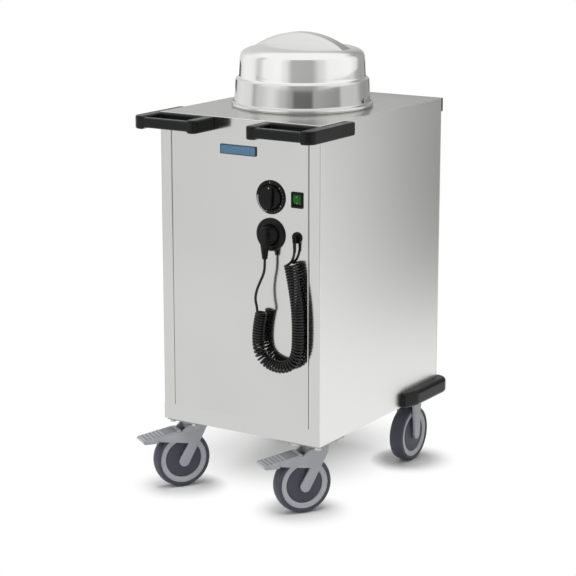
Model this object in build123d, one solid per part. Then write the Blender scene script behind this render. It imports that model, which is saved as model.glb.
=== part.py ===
from build123d import *

# Heated plate dispenser cart: a steel cabinet with a lift-off hood, on four castors.
# Millimetres. X runs left to right, Y front to back, Z up. The front with the controls
# faces -Y. The origin is the centre of the cabinet's footprint, at floor level.

import os
from bisect import bisect
from math import cos, dist, pi, radians, sin, sqrt, tan

# ---------------------------------------------------------------- driving dimensions

# Cabinet
body_width = 390.0
body_depth = 498.0
body_height = 660.0
sheet = 1.5
bend = 2.0  # outside radius of every fold
post_width = 27.0  # front face of each side panel
post_return = 14.0
rear_flange = 18.0
rail_height = 35.0  # front rail of the base pan
seam = 0.8  # open joint between the front panel and the posts
top_overhang = 6.5  # rear edge of the top plate past the rear panel
top_flange = 30.0
skirt_height = 15.0
panel_hole_play = 2.0  # round the parts that pass through the front panel

# Plate well and lift
well_radius = 131.0  # inside
well_wall = 1.2
well_skirt = 18.0  # wall of the well below its slots
well_rim = 8.0  # width of the rim that hangs on the top plate
well_clearance = 0.5
arm_count = 3
arm_width = 12.0
arm_thickness = 5.0
slot_clearance = 1.0
platform_radius = 112.0
platform_drop = 55.0  # platform below the top of the cabinet at rest
platform_rim = 12.0
platform_sheet = 2.0
vent_count = 6  # slots in the platform, for the warm air
vent_circle = 65.0
vent_length = 59.0
vent_width = 14.0
column_height = 160.0
column_radius = 16.0
column_wall = 2.0
lift_travel = 365.0
hanger_drop = 30.0
spring_radius = 4.5
spring_spread = 11.0  # each spring's distance from the middle of its arm
spring_reach = 18.0  # springs outside the wall of the well
guide_radius = 4.0
guide_inset = 9.0  # guide rod's axis inside the wall of the well

# Heater
heater_ring_radius = 85.0
heater_rod_radius = 4.0
heater_height = 34.0  # rod's axis above the floor of the cabinet
tray_radius = 112.0
tray_height = 18.0
tray_post_radius = 5.0
heater_opening = 20.0  # angle left open towards the front, between the two terminals
terminal_length = 24.0

# Hood
hood_sheet = 1.0
hood_rim_radius = 150.0
hood_rim_height = 8.0
hood_foot_radius = 144.0
hood_step_radius = 141.0
hood_step_height = 57.0
hood_upper_radius = 133.5
hood_step_rise = 3.5
hood_top_radius = 130.0
hood_top_height = 127.5
hood_shoulder = 20.0
hood_shift = 8.0  # hood and well forward of the middle of the cabinet
grip_height = 154.0
grip_half_span = 107.0
grip_half_width = 17.0
grip_edge = 5.0

# Controls on the front panel
dial_inset = 116.5  # axis of the dial and the socket from the side of the cabinet
switch_inset = 54.0  # axis of the switch and the gland from the side of the cabinet
upper_row = 507.3  # height of the dial and the switch above the cabinet's underside
lower_row = 431.0  # height of the socket and the gland
dial_radius = 34.0
dial_thickness = 3.0
dial_recess = 1.0
dial_edge = 1.2
knob_skirt_radius = 25.0
knob_skirt = 5.0
knob_length = 46.0
knob_width = 22.0
knob_depth = 22.0
knob_turn = 5.0  # clockwise from upright
spindle_radius = 3.0
spindle_play = 1.0
case_width = 40.0
case_height = 46.0
case_depth = 32.0
case_opening = 12.0  # depth of the hole that the spindle enters
switch_width = 28.0
switch_height = 33.0
switch_border = 3.0
switch_depth = 2.5
switch_corner = 2.5
switch_wall = 1.5
switch_body = 20.0  # behind the panel
switch_well = 12.0  # depth of the rocker's well behind the panel
rocker_tilt = 7.0
rocker_thickness = 8.0
socket_radius = 34.0
socket_face = 6.0
socket_bore = 21.0
socket_floor = 2.0
socket_wall = 1.5
socket_box = 24.0  # behind the panel
socket_edge = 2.0
gland_radius = 11.75
gland_flange = 4.0
gland_nose = 4.5
gland_drop = 9.0  # nose's mouth below the gland's axis
gland_tail = 12.0  # behind the panel
gland_edge = 2.0
lead_depth = 10.0  # cord's axis in front of the panel at the gland
fit = 0.3  # gap between neighbouring rigid pieces

# Cord
cord_diameter = 5.0
curl_diameter = 25.0
curl_pitch = 5.64
curl_gap = 0.55  # least gap between neighbouring curls inside a bend
curl_depth = 18.4  # axis of the curls in front of the panel
curl_end_angle = 40.0  # where on the last curl the cord leaves it, in degrees
curl_sides = 6  # faces round the cord's section
curl_exit = 12.5  # from the end of the curls to the lead's first bend
plug_depth = 23.5  # cord's axis in front of the panel at the plug
plug_drop = 47.0  # strain relief's end below the socket's axis
plug_width = 20.0
plug_height = 34.0
relief_radius = 9.0
relief_end = 4.5

# Handles and bumpers
handle_height = 27.5
handle_drop = 1.5
handle_reach = 69.0
handle_span = 135.0  # from the inner arm to the side of the cabinet
handle_arm = 24.0
handle_post = 5.0  # inner face of the outer arm from the side of the cabinet
handle_side = 22.0
handle_side_length = 101.0
handle_back = 7.0
handle_edge = 3.0
handle_corner = 20.0
grip_bar_height = 21.0
grip_bar_depth = 18.0
bumper_drop = 2.0  # below the cabinet's underside
bumper_height = 34.0
bumper_thickness = 23.0
bumper_side_length = 164.0
bumper_rear_length = 60.0
bumper_tip = 12.0
bumper_taper = 38.0
bumper_corner = 28.0
bumper_edge = 8.0

# Wheels
wheel_radius = 62.5
wheel_width = 32.0
tread_crown = 4.0
tread_radius = 52.4  # inside of the tread
tread_shoulder = 2.5
rim_width = 27.0
rim_wall = 12.5
web_thickness = 12.0
hub_radius = 13.0
hub_width = 33.8
guard_wall = 1.5
guard_rise = 2.0
axle_radius = 6.0
axle_seat = 2.5  # depth of the blind seat in each leg
running_clearance = 0.05

# Castors
leg_thickness = 5.5
leg_width = 22.0
castor_side_inset = 41.0
castor_front_inset = 54.5
castor_rear_inset = 51.0
castor_trail = 33.0
castor_turn = 57.0  # front castors, anticlockwise from +X
plate_length = 100.0
plate_width = 80.0
plate_thickness = 4.0
plate_corner = 6.0
bolt_spacing_x = 58.0
bolt_spacing_y = 80.0
bolt_radius = 4.0
bolt_clearance = 0.25
bolt_head = 5.5
bolt_across = 13.0
nut_height = 6.5
housing_radius = 28.0
housing_height = 7.2
head_radius = 26.0
head_height = 14.5
crown_gap = 4.0  # between the tread and the crown
kingpin_radius = 5.0
kingpin_head = 9.0
kingpin_head_height = 3.0
rear_neck_radius = 24.0
rear_neck_height = 13.0
rear_leg_width = 31.0

# Front fork in side view, from the wheel's centre
leg_end = (-1.0, -3.5)
heel = (9.6, 36.5)
chin = (46.0, 60.0)
brow = 48.5  # front of the crown
crown_rise = 10.0  # crown's thickness
wing_root = (-5.5, 64.0)
pivot = (-53.8, 51.6)
pivot_boss = 4.7

# Brake pedal in side view, from the wheel's centre
pedal_top = [(-8.0, 67.4), (-93.0, 52.6)]
pedal_toe = [(-95.0, 49.4), (-90.0, 44.3), (-60.3, 44.0), (-57.0, 49.0)]
pedal_inner_end = (-8.0, 60.0)
pedal_width = 42.0
pedal_ribs = 6
pedal_rib_pitch = 8.5
pedal_rib_radius = 1.5
pedal_rib_start = -89.0
pedal_lug = 3.3
pedal_pin_radius = 3.0
pedal_play = 0.4  # between the pedal and the fork

# ---------------------------------------------------------------- derived places

right = body_width / 2
front = -body_depth / 2
rear = body_depth / 2
crown_low = 2 * wheel_radius + crown_gap
head_top = crown_low + head_height
housing_low = head_top + fit
plate_low = housing_low + housing_height
floor = plate_low + plate_thickness  # underside of the cabinet
top = floor + body_height
dial_x = right - dial_inset
switch_x = right - switch_inset
dial_z = floor + upper_row
socket_z = floor + lower_row
cord_radius = cord_diameter / 2
curl_radius = (curl_diameter - cord_diameter) / 2
well_outer = well_radius + well_wall
spring_circle = well_outer + spring_reach
platform_z = top - platform_drop
arm_z = platform_z - column_height
hanger_z = top - hanger_drop
slot_low = arm_z - lift_travel - 2 * slot_clearance
slot_high = arm_z + arm_thickness + 2 * slot_clearance
well_bottom = slot_low - well_skirt
fork_half = hub_width / 2 + fit  # inner face of each leg
fork_outer = fork_half + leg_thickness

pieces = {}


def block(x, y, z):
    """A box between two limits along each axis."""
    size = [high - low for low, high in (x, y, z)]
    middle = [(low + high) / 2 for low, high in (x, y, z)]
    return Pos(*middle) * Box(*size)


def pillar(x, y, z, radius):
    """A round bar along Z between two heights."""
    return Pos(x, y, (z[0] + z[1]) / 2) * Cylinder(radius, z[1] - z[0])


def peg(x, y, z, radius):
    """A round bar along Y between two depths."""
    return Pos(x, (y[0] + y[1]) / 2, z) * Rot(90, 0, 0) * Cylinder(radius, y[1] - y[0])


def folded(points, low, high):
    """A sheet folded along a plan, with its outside on the given points."""
    outside = FilletPolyline(*points, radius=bend)
    outline = outside.offset_2d(sheet, side=Side.LEFT, closed=True)
    return Pos(0, 0, low) * extrude(make_face(outline), high - low)


def turned(points, axis=Axis.Z):
    """A solid of revolution from (radius, height) points, about Z."""
    profile = make_face(Plane.XZ * Polyline(*points, close=True))
    return revolve(profile, axis)


def mirrored(shape):
    return mirror(shape, about=Plane.YZ)


def grouped(shapes):
    """Separate solids kept together in one sub-part."""
    return Compound(children=[solid for shape in shapes for solid in shape.solids()])


# ---------------------------------------------------------------- cabinet

castor_places = [
    (side * (right - castor_side_inset), y)
    for y in (front + castor_front_inset, rear - castor_rear_inset)
    for side in (-1, 1)
]


def bolt_places(x, y):
    return [
        (x + i * bolt_spacing_x / 2, y + j * bolt_spacing_y / 2)
        for i in (-1, 1)
        for j in (-1, 1)
    ]


def make_side_panel():
    plan = [
        (right - post_width, front + post_return),
        (right - post_width, front),
        (right, front),
        (right, rear - sheet),
        (right - rear_flange, rear - sheet),
    ]
    panel = folded(plan, floor, top - sheet)
    rail_top = floor + rail_height
    inside = right - post_width - 1
    panel -= block((inside, right + 1), (front - 1, front + sheet), (floor - 1, rail_top))
    panel -= block((inside, right - sheet), (front - 1, front + post_return + 1), (floor - 1, rail_top))
    return panel


def make_front_panel():
    half = right - post_width - seam
    plan = [(-half, front + post_return), (-half, front), (half, front), (half, front + post_return)]
    panel = folded(plan, floor + rail_height, top - sheet)
    through = (front - 1, front + sheet + 1)
    panel -= peg(dial_x, through, dial_z, spindle_radius + panel_hole_play)
    panel -= peg(dial_x, through, socket_z, socket_bore + panel_hole_play)
    panel -= peg(switch_x, through, socket_z, gland_nose + panel_hole_play)
    half_x = switch_width / 2 - switch_border
    half_z = switch_height / 2 - switch_border
    return panel - Pos(switch_x, 0, dial_z) * block((-half_x, half_x), through, (-half_z, half_z))


def make_base_pan():
    inner = right - sheet
    back = rear - 2 * sheet
    pan = block((-inner, inner), (front, back), (floor, floor + sheet))
    pan += block((-right, right), (front, front + sheet), (floor, floor + rail_height))
    for x in ((-inner, -inner + sheet), (inner - sheet, inner)):
        pan += block(x, (front, back - rear_flange), (floor, floor + rail_height))
    pan += block((-inner, inner), (back - sheet, back), (floor, floor + rail_height))
    pan = fillet(pan.edges().filter_by(Axis.Z).sort_by(Axis.Y)[-2:], bend - sheet)
    for x, y in castor_places:
        for bolt_x, bolt_y in bolt_places(x, y):
            pan -= pillar(bolt_x, bolt_y, (floor - 1, floor + sheet + 1), bolt_radius + bolt_clearance)
    return pan


def make_top_plate():
    back = rear + top_overhang
    plate = block((-right, right), (front, back), (top - sheet, top))
    plate += block((-right, right), (back - sheet, back), (top - top_flange, top))
    upper = [edge for edge in plate.edges() if abs((edge @ 0).Z + (edge @ 1).Z - 2 * top) < fit]
    plate = fillet(upper, sheet * 0.6)
    skirt = (top - sheet - skirt_height, top - sheet)
    inner = right - sheet
    reach = right - post_width - seam - bend
    plate += block((-reach, reach), (front + sheet, front + 2 * sheet), skirt)
    for x in ((-inner, -inner + sheet), (inner - sheet, inner)):
        plate += block(x, (front + 2 * post_return, rear - 2 * rear_flange), skirt)
    plate -= pillar(0, -hood_shift, (top - sheet - 1, top + 1), well_outer + well_clearance)
    return plate


pieces["side_panel_right"] = make_side_panel()
pieces["side_panel_left"] = mirrored(pieces["side_panel_right"])
pieces["front_panel"] = make_front_panel()
pieces["rear_panel"] = block((-right, right), (rear - sheet, rear), (floor, top - sheet))
pieces["base_pan"] = make_base_pan()
pieces["top_plate"] = make_top_plate()

# ---------------------------------------------------------------- plate well and lift

arm_angles = [90 + i * 360 / arm_count for i in range(arm_count)]
guide_angles = [angle + 180 / arm_count for angle in arm_angles]


def around_well(shape, angle):
    """A shape made along +X, turned about the axis of the well."""
    return Pos(0, -hood_shift, 0) * Rot(0, 0, angle) * shape


def make_well():
    rim = well_outer + well_rim
    well = turned(
        [
            (well_radius, well_bottom),
            (well_outer, well_bottom),
            (well_outer, top),
            (rim, top),
            (rim, top + well_wall),
            (well_radius, top + well_wall),
        ]
    )
    slot_half = arm_width / 2 + slot_clearance
    slot = block((well_radius - 1, well_outer + 1), (-slot_half, slot_half), (slot_low, slot_high))
    end = spring_circle + 2 * spring_radius
    half = spring_spread + 2 * spring_radius
    hanger = block((well_radius + well_wall / 2, end), (-half, half), (hanger_z, hanger_z + 2 * sheet))
    for angle in arm_angles:
        well -= Rot(0, 0, angle) * slot
        well += Rot(0, 0, angle) * hanger
    return Pos(0, -hood_shift, 0) * well


def make_guide_rod():
    """A rod inside the wall, bent outwards into it at both ends."""
    axis = well_radius - guide_inset
    low = well_bottom + 3 * guide_radius
    high = top - 3 * guide_radius
    wall = well_radius - fit
    corners = [(wall, 0, low), (axis, 0, low), (axis, 0, high), (wall, 0, high)]
    route = FilletPolyline(*corners, radius=guide_radius + 1)
    section = Plane(origin=(wall, 0, low), z_dir=(-1, 0, 0)) * Circle(guide_radius)
    return sweep(section, path=route)


def make_platform():
    disc = turned(
        [
            (0, platform_z - platform_sheet),
            (platform_radius - platform_sheet, platform_z - platform_sheet),
            (platform_radius - platform_sheet, platform_z - platform_rim),
            (platform_radius, platform_z - platform_rim),
            (platform_radius, platform_z),
            (0, platform_z),
        ]
    )
    vent = extrude(SlotOverall(vent_length, vent_width), 2 * platform_sheet, both=True)
    for i in range(vent_count):
        disc -= Rot(0, 0, 360 * i / vent_count) * Pos(vent_circle, 0, platform_z) * vent
    return Pos(0, -hood_shift, 0) * disc


def make_carriage():
    """The column under the platform and the arms that reach out to the springs."""
    column_top = platform_z - platform_sheet
    column = pillar(0, 0, (arm_z, column_top), column_radius)
    column -= pillar(0, 0, (arm_z - 1, column_top - column_wall), column_radius - column_wall)
    end = spring_circle + 2 * spring_radius
    half = spring_spread + 2 * spring_radius
    thickness = (arm_z, arm_z + arm_thickness)
    arm = block((column_radius - column_wall / 2, end), (-arm_width / 2, arm_width / 2), thickness)
    arm += block((end - 4 * spring_radius, end), (-half, half), thickness)
    for angle in arm_angles:
        column += Rot(0, 0, angle) * arm
    return Pos(0, -hood_shift, 0) * column


def make_springs():
    """Two closed tension springs above each arm, hooked at both ends."""
    low, high = arm_z + arm_thickness, hanger_z
    neck = 3 * spring_radius
    spring = pillar(0, 0, (low + neck, high - neck), spring_radius)
    spring += pillar(0, 0, (low, high), spring_radius / 3)
    places = [(angle, offset) for angle in arm_angles for offset in (-spring_spread, spring_spread)]
    return grouped([around_well(Pos(spring_circle, offset, 0) * spring, angle) for angle, offset in places])


pieces["well_tube"] = make_well()
guide_rod = make_guide_rod()
pieces["guide_rods"] = grouped([around_well(guide_rod, angle) for angle in guide_angles])
pieces["plate_platform"] = make_platform()
pieces["lift_carriage"] = make_carriage()
pieces["lift_springs"] = make_springs()

# ---------------------------------------------------------------- heater


def make_heater_tray():
    base = floor + sheet
    low = base + tray_height
    tray = turned(
        [
            (0, low),
            (tray_radius, low),
            (tray_radius, low + tray_height / 2),
            (tray_radius - sheet, low + tray_height / 2),
            (tray_radius - sheet, low + sheet),
            (0, low + sheet),
        ]
    )
    saddle_top = floor + heater_height - heater_rod_radius
    for angle in guide_angles:
        tray += Rot(0, 0, angle) * pillar(heater_ring_radius, 0, (base, saddle_top), tray_post_radius)
    return Pos(0, -hood_shift, 0) * tray


def make_heater():
    """An open ring of heater rod, whose two ends turn up as terminals."""
    z = floor + heater_height
    arc = CenterArc((0, 0), heater_ring_radius, heater_opening / 2 - 90, 360 - heater_opening)
    ring = sweep(Plane(origin=arc @ 0, z_dir=arc % 0) * Circle(heater_rod_radius), path=arc)
    for end in (arc @ 0, arc @ 1):
        ring += pillar(end.X, end.Y, (0, terminal_length), heater_rod_radius)
        ring += Pos(end.X, end.Y, 0) * Sphere(heater_rod_radius)
    return Pos(0, -hood_shift, z) * ring


pieces["heater_tray"] = make_heater_tray()
pieces["heating_ring"] = make_heater()

# ---------------------------------------------------------------- hood


def hood_form(inset):
    """The hood's outer form, shrunk by an inset on every side."""
    roof = hood_top_height - inset
    outline = [
        (0, 0),
        (hood_foot_radius - inset, 0),
        (hood_step_radius - inset, hood_step_height),
        (hood_upper_radius - inset, hood_step_height + hood_step_rise),
        (hood_top_radius - inset, roof),
        (0, roof),
    ]
    sides = FilletPolyline(*outline[1:], radius=[3.0, 3.0, hood_shoulder])
    base = Polyline(outline[-1], outline[0], outline[1])
    form = revolve(make_face(Plane.XZ * (sides + base)), Axis.Z)
    rise = grip_height - hood_top_height
    cap_radius = (grip_half_span**2 + rise**2) / (2 * rise)
    cap = Pos(0, 0, grip_height - cap_radius) * Sphere(cap_radius - inset)
    half = grip_half_width - inset
    low = hood_top_height - 2 * hood_shoulder
    grip = cap & block((-hood_foot_radius, hood_foot_radius), (-half, half), (low, grip_height + 1))
    grip &= pillar(0, 0, (low, grip_height + 1), hood_top_radius - hood_shoulder / 2)
    upper = [edge for edge in grip.edges() if edge.center().Z > hood_top_height]
    grip = fillet([edge for edge in upper if edge.length > grip_half_span], grip_edge - inset)
    return form + grip


def make_hood():
    hood = hood_form(0) - hood_form(hood_sheet)
    rim_width = hood_rim_radius - hood_foot_radius + hood_sheet
    section = Pos(hood_rim_radius - rim_width / 2, hood_rim_height / 2) * RectangleRounded(
        rim_width, hood_rim_height, rim_width * 0.4
    )
    hood += revolve(Plane.XZ * section, Axis.Z)
    return Pos(0, -hood_shift, top) * hood


pieces["hood"] = make_hood()

# ---------------------------------------------------------------- controls


def make_dial_ring():
    ring = peg(0, (-dial_thickness, 0), 0, dial_radius)
    ring = fillet(ring.edges().sort_by(Axis.Y)[0], dial_edge)
    ring -= peg(0, (-dial_thickness - 1, dial_recess - dial_thickness), 0, knob_skirt_radius + 2 * fit)
    ring -= peg(0, (-dial_thickness, 1), 0, spindle_radius + spindle_play)
    return Pos(dial_x, front, dial_z) * ring


def make_knob():
    """A round skirt with a tapered bar across it, on a spindle."""
    back = dial_recess - dial_thickness - fit
    skirt = peg(0, (back - knob_skirt, back), 0, knob_skirt_radius)
    bar_plan = Plane.XZ * RectangleRounded(knob_width, knob_length, knob_width * 0.45)
    bar = Pos(0, back - knob_skirt / 2, 0) * extrude(bar_plan, knob_depth, taper=4)
    knob = skirt + bar
    spindle = peg(0, (back - 1, 4 * sheet), 0, spindle_radius)
    return Pos(dial_x, front, dial_z) * Rot(0, knob_turn, 0) * (knob + spindle)


def make_thermostat():
    """The thermostat's case behind the panel, open at the front for the spindle."""
    half_x, half_z = case_width / 2, case_height / 2
    case = block((-half_x, half_x), (sheet, sheet + case_depth), (-half_z, half_z))
    case -= peg(0, (sheet - 1, sheet + case_opening), 0, spindle_radius + spindle_play)
    return Pos(dial_x, front, dial_z) * case


def make_switch_frame():
    outer = Plane.XZ * RectangleRounded(switch_width, switch_height, switch_corner)
    frame = extrude(outer, switch_depth)
    half_x = switch_width / 2 - switch_border - fit
    half_z = switch_height / 2 - switch_border - fit
    frame += block((-half_x, half_x), (0, switch_body), (-half_z, half_z))
    well_x, well_z = half_x - switch_wall, half_z - switch_wall
    frame -= block((-well_x, well_x), (-switch_depth - 1, switch_well), (-well_z, well_z))
    return Pos(switch_x, front, dial_z) * frame


def make_rocker():
    """The rocker, a shallow arc in side view, tipped to its switched-on side."""
    width = switch_width - 2 * (switch_border + fit + switch_wall + fit)
    height = switch_height - 2 * (switch_border + fit + switch_wall + 4 * fit)
    radius = height * 1.1
    slice_plan = Pos(rocker_thickness / 2 - radius, 0) * Rectangle(rocker_thickness, height)
    side = Plane.YZ * (Circle(radius) & slice_plan)
    rocker = Pos(0, radius - switch_depth, 0) * extrude(side, width / 2, both=True)
    return Pos(switch_x, front, dial_z) * Rot(rocker_tilt, 0, 0) * rocker


def make_socket():
    """The round parking socket: a flange with a well for the plug, and its box."""
    socket = peg(0, (-socket_face, 0), 0, socket_radius)
    socket = fillet(socket.edges().sort_by(Axis.Y)[0], socket_edge)
    socket += peg(0, (0, socket_box), 0, socket_bore + socket_wall)
    socket -= peg(0, (-socket_face - 1, socket_floor), 0, socket_bore)
    return Pos(dial_x, front, socket_z) * socket


def make_gland():
    gland = peg(0, (-gland_flange, 0), 0, gland_radius)
    gland = fillet(gland.edges().sort_by(Axis.Y)[0], gland_edge)
    gland += peg(0, (-lead_depth, gland_tail), 0, gland_nose)
    gland += Pos(0, -lead_depth, 0) * Sphere(gland_nose)
    gland += pillar(0, -lead_depth, (-gland_drop, 0), gland_nose)
    return Pos(switch_x, front, socket_z) * gland


pieces["dial_ring"] = make_dial_ring()
pieces["thermostat_knob"] = make_knob()
pieces["thermostat"] = make_thermostat()
pieces["switch_frame"] = make_switch_frame()
pieces["switch_rocker"] = make_rocker()
pieces["parking_socket"] = make_socket()
pieces["cable_gland"] = make_gland()

# ---------------------------------------------------------------- cord

# Routes from the gland's axis: across, in front of the panel, and down.
curl_route = [
    (-5.7, curl_depth, 53.7),
    (9.0, curl_depth, 116.0),
    (14.5, curl_depth, 186.0),
    (11.0, curl_depth, 251.0),
    (-29.0, curl_depth, 274.0),
    (-79.0, curl_depth, 256.0),
    (-85.0, curl_depth, 201.0),
    (-74.4, curl_depth, 160.6),
]
gland_lead_route = [
    (0.0, lead_depth, gland_drop),
    (0.0, lead_depth, 24.0),
    (-2.5, 7.2, 37.5),
    (-7.8, 4.8, 48.2),
]

# From the plug's axis, in the same way.
plug_lead_route = [
    (-12.5, 34.0, 145.0),
    (-15.3, 36.0, 130.0),
    (-13.9, 34.0, 113.0),
    (-8.1, 29.0, 94.0),
    (-2.0, 25.0, 78.0),
    (0.0, plug_depth, 64.0),
    (0.0, plug_depth, plug_drop),
]


def hung(route, axis_x):
    """A route's points on the front, measured from an axis at the socket's height."""
    return [Vector(axis_x + across, front - depth, socket_z - drop) for across, depth, drop in route]


def corner_radii(points):
    """Each corner's arc, as large as its two runs allow."""
    radii = []
    for before, corner, after in zip(points, points[1:], points[2:]):
        turn = (corner - before).get_angle(after - corner)
        run = min((corner - before).length, (after - corner).length)
        radii.append(0.45 * run / tan(radians(turn / 2)))
    return radii


def cord_tube(points, label):
    radii = corner_radii(points)
    path = FilletPolyline(*points, radius=radii)
    tube = sweep(Plane(origin=path @ 0, z_dir=path % 0) * Circle(cord_radius), path=path)
    share = tube.volume / (pi * cord_radius**2 * path.length)
    print(label, "length", round(path.length, 1), "radii", [round(r, 1) for r in radii])
    print(label, "volume against section times length", round(share, 4))
    return tube


def curl_line():
    """The curls' centre line: a function from the angle wound so far to a point."""
    points = hung(curl_route, switch_x)
    axis = FilletPolyline(*points, radius=corner_radii(points))
    steps = round(axis.length / cord_radius) * 4
    step = axis.length / steps
    places = [axis @ (i / steps) for i in range(steps + 1)]
    ways = [axis % (i / steps) for i in range(steps + 1)]
    wound = [0.0]
    for before, after in zip(ways, ways[1:]):
        bend_rate = radians(before.get_angle(after)) / step
        pitch = max(curl_pitch, (cord_diameter + curl_gap) / (1 - curl_radius * bend_rate))
        wound.append(wound[-1] + 2 * pi * step / pitch)
    total = 2 * pi * round(wound[-1] / (2 * pi)) + radians(curl_end_angle)
    wound = [angle * total / wound[-1] for angle in wound]

    def place(angle):
        index = min(max(bisect(wound, angle) - 1, 0), steps - 1)
        share = (angle - wound[index]) / (wound[index + 1] - wound[index])
        middle = places[index] + (places[index + 1] - places[index]) * share
        way = (ways[index] + (ways[index + 1] - ways[index]) * share).normalized()
        across = Vector(way.Z, 0, -way.X)
        outward = across * cos(angle) + Vector(0, -1, 0) * sin(angle)
        return middle + outward * curl_radius

    return place, total


def biarc(start, start_way, end, end_way):
    """Two tangent arcs between two points with given directions."""
    gap = end - start
    swing = gap.dot(start_way + end_way)
    spread = 2 * (1 - start_way.dot(end_way))
    reach = (sqrt(swing**2 + spread * gap.dot(gap)) - swing) / spread
    middle = (start + start_way * reach + end - end_way * reach) / 2
    return [TangentArc(start, middle, tangent=start_way), TangentArc(end, middle, tangent=end_way * -1)]


def least_gap(place, total):
    """The smallest gap between one curl and the next."""
    per_turn = 48
    count = int(total / (2 * pi) * per_turn)
    points = [tuple(place(2 * pi * i / per_turn)) for i in range(count)]
    nearest = min(
        dist(points[i], points[j])
        for i in range(count)
        for j in range(i + per_turn // 2, min(i + 3 * per_turn // 2, count))
    )
    return nearest - cord_diameter


def make_curls():
    """The curly cord: a tube wound round a hanging loop, on arcs of a quarter turn."""
    place, total = curl_line()
    halves = int(total / pi)
    angles = [i * pi for i in range(halves + 1)] + [total]
    small = 0.001
    stations = []
    for angle in angles:
        way = (place(min(angle + small, total)) - place(max(angle - small, 0))).normalized()
        stations.append((place(angle), way))
    start, start_way = stations[0]
    end, end_way = stations[-1]
    edges = [Line(start - start_way * cord_diameter, start)]
    for (here, way), (there, next_way) in zip(stations, stations[1:]):
        edges += biarc(here, way, there, next_way)
    edges.append(Line(end, end + end_way * cord_diameter))
    path = Wire([edge for line in edges for edge in line.edges()])
    section = Plane(origin=path @ 0, z_dir=path % 0) * RegularPolygon(cord_radius, curl_sides)
    curls = sweep(section, path=path, clean=False)
    area = curl_sides / 2 * cord_radius**2 * sin(2 * pi / curl_sides)
    print("curls", round(total / (2 * pi), 2), "length", round(path.length), "solids", len(curls.solids()))
    print("curls least gap", round(least_gap(place, total), 2))
    print("curls volume against section times length", round(curls.volume / (area * path.length), 4))
    return curls, edges[0] @ 0, start_way, edges[-1] @ 1, end_way


def make_plug():
    """A right-angle plug: round base, tapered grip and a strain relief that points down."""
    base_radius = socket_bore - 2 * fit
    base = peg(0, (-socket_face, socket_floor - fit), 0, base_radius)
    back = Plane.XZ.offset(socket_face) * Circle(base_radius)
    face_plan = RectangleRounded(plug_width, plug_height, plug_width * 0.45)
    grip = loft([back, Plane.XZ.offset(plug_depth + relief_radius) * face_plan])
    neck_top = Plane.XY.offset(-plug_height / 4) * Pos(0, -plug_depth) * Circle(relief_radius)
    neck_end = Plane.XY.offset(-plug_drop) * Pos(0, -plug_depth) * Circle(relief_end)
    return Pos(dial_x, front, socket_z) * (base + grip + loft([neck_top, neck_end]))


curls, curls_start, curls_in, curls_end, curls_out = make_curls()
pieces["curly_cord"] = curls
into_curls = [curls_start - curls_in * curl_exit, curls_start]
out_of_curls = [curls_end, curls_end + curls_out * curl_exit]
pieces["gland_lead"] = cord_tube(hung(gland_lead_route, switch_x) + into_curls, "gland lead")
pieces["plug_lead"] = cord_tube(out_of_curls + hung(plug_lead_route, dial_x), "plug lead")
pieces["plug"] = make_plug()

# ---------------------------------------------------------------- handles and bumpers


def rounded_at(plan, points, radius):
    """A plan with the corners nearest to some points rounded."""
    corners = [plan.vertices().sort_by_distance(Vector(*point))[0] for point in points]
    return fillet(corners, radius)


def rims(solid, low, high):
    """The edges round the top and the bottom of a moulding, less those against the cabinet."""
    chosen = []
    for edge in solid.edges():
        middle = edge @ 0.5
        level = min(abs(middle.Z - low), abs(middle.Z - high)) < 0.001
        if level and (middle.X > right + 0.001 or middle.Y < front - 0.001 or middle.Y > rear + 0.001):
            chosen.append(edge)
    return chosen


def make_handle():
    """The right handle: a back bar, two arms and a lower grip bar in one moulding."""
    high = top - handle_drop
    low = high - handle_height
    inner = right - handle_span
    inner_end = inner + handle_arm
    outer_start = right - handle_post
    outside = right + handle_side
    reach = front - handle_reach
    back = front - handle_back
    end = front + handle_side_length
    plan = make_face(
        Polyline(
            (inner, front),
            (inner, reach),
            (inner_end, reach),
            (inner_end, back),
            (outer_start, back),
            (outer_start, reach),
            (outside, reach),
            (outside, end),
            (right, end),
            (right, front),
            close=True,
        )
    )
    plan = rounded_at(plan, [(outside, reach)], handle_corner)
    plan = rounded_at(plan, [(inner, reach), (inner_end, reach)], handle_arm * 0.45)
    plan = rounded_at(plan, [(inner_end, back), (outer_start, back)], handle_edge * 1.2)
    plan = rounded_at(plan, [(outside, end)], handle_side * 0.4)
    handle = extrude(Pos(0, 0, low) * plan, handle_height)
    handle = fillet(rims(handle, low, high), handle_edge)
    bar_place = Pos(reach + handle_edge / 2 + grip_bar_depth / 2, (low + high) / 2)
    bar_plan = Plane.YZ * bar_place * RectangleRounded(grip_bar_depth, grip_bar_height, handle_edge * 1.5)
    bar_start = inner + handle_arm / 2
    return handle + Pos(bar_start, 0, 0) * extrude(bar_plan, outer_start + handle_arm / 2 - bar_start)


def make_bumper():
    """The right rear bumper: a tapered moulding round the corner of the cabinet."""
    low = floor - bumper_drop
    outer_x, outer_y = right + bumper_thickness, rear + bumper_thickness
    start = rear - bumper_side_length
    end = right - bumper_rear_length
    plan = make_face(
        Polyline(
            (right, start),
            (right + bumper_tip, start),
            (outer_x, start + bumper_taper),
            (outer_x, outer_y),
            (end + bumper_taper, outer_y),
            (end, rear + bumper_tip),
            (end, rear),
            (right, rear),
            close=True,
        )
    )
    plan = rounded_at(plan, [(outer_x, start + bumper_taper), (end + bumper_taper, outer_y)], bumper_taper)
    plan = rounded_at(plan, [(outer_x, outer_y)], bumper_corner)
    bumper = extrude(Pos(0, 0, low) * plan, bumper_height)
    return fillet(rims(bumper, low, low + bumper_height), bumper_edge)


pieces["handle_right"] = make_handle()
pieces["handle_left"] = mirrored(pieces["handle_right"])
pieces["bumper_right"] = make_bumper()
pieces["bumper_left"] = mirrored(pieces["bumper_right"])

# ---------------------------------------------------------------- wheels

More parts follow.
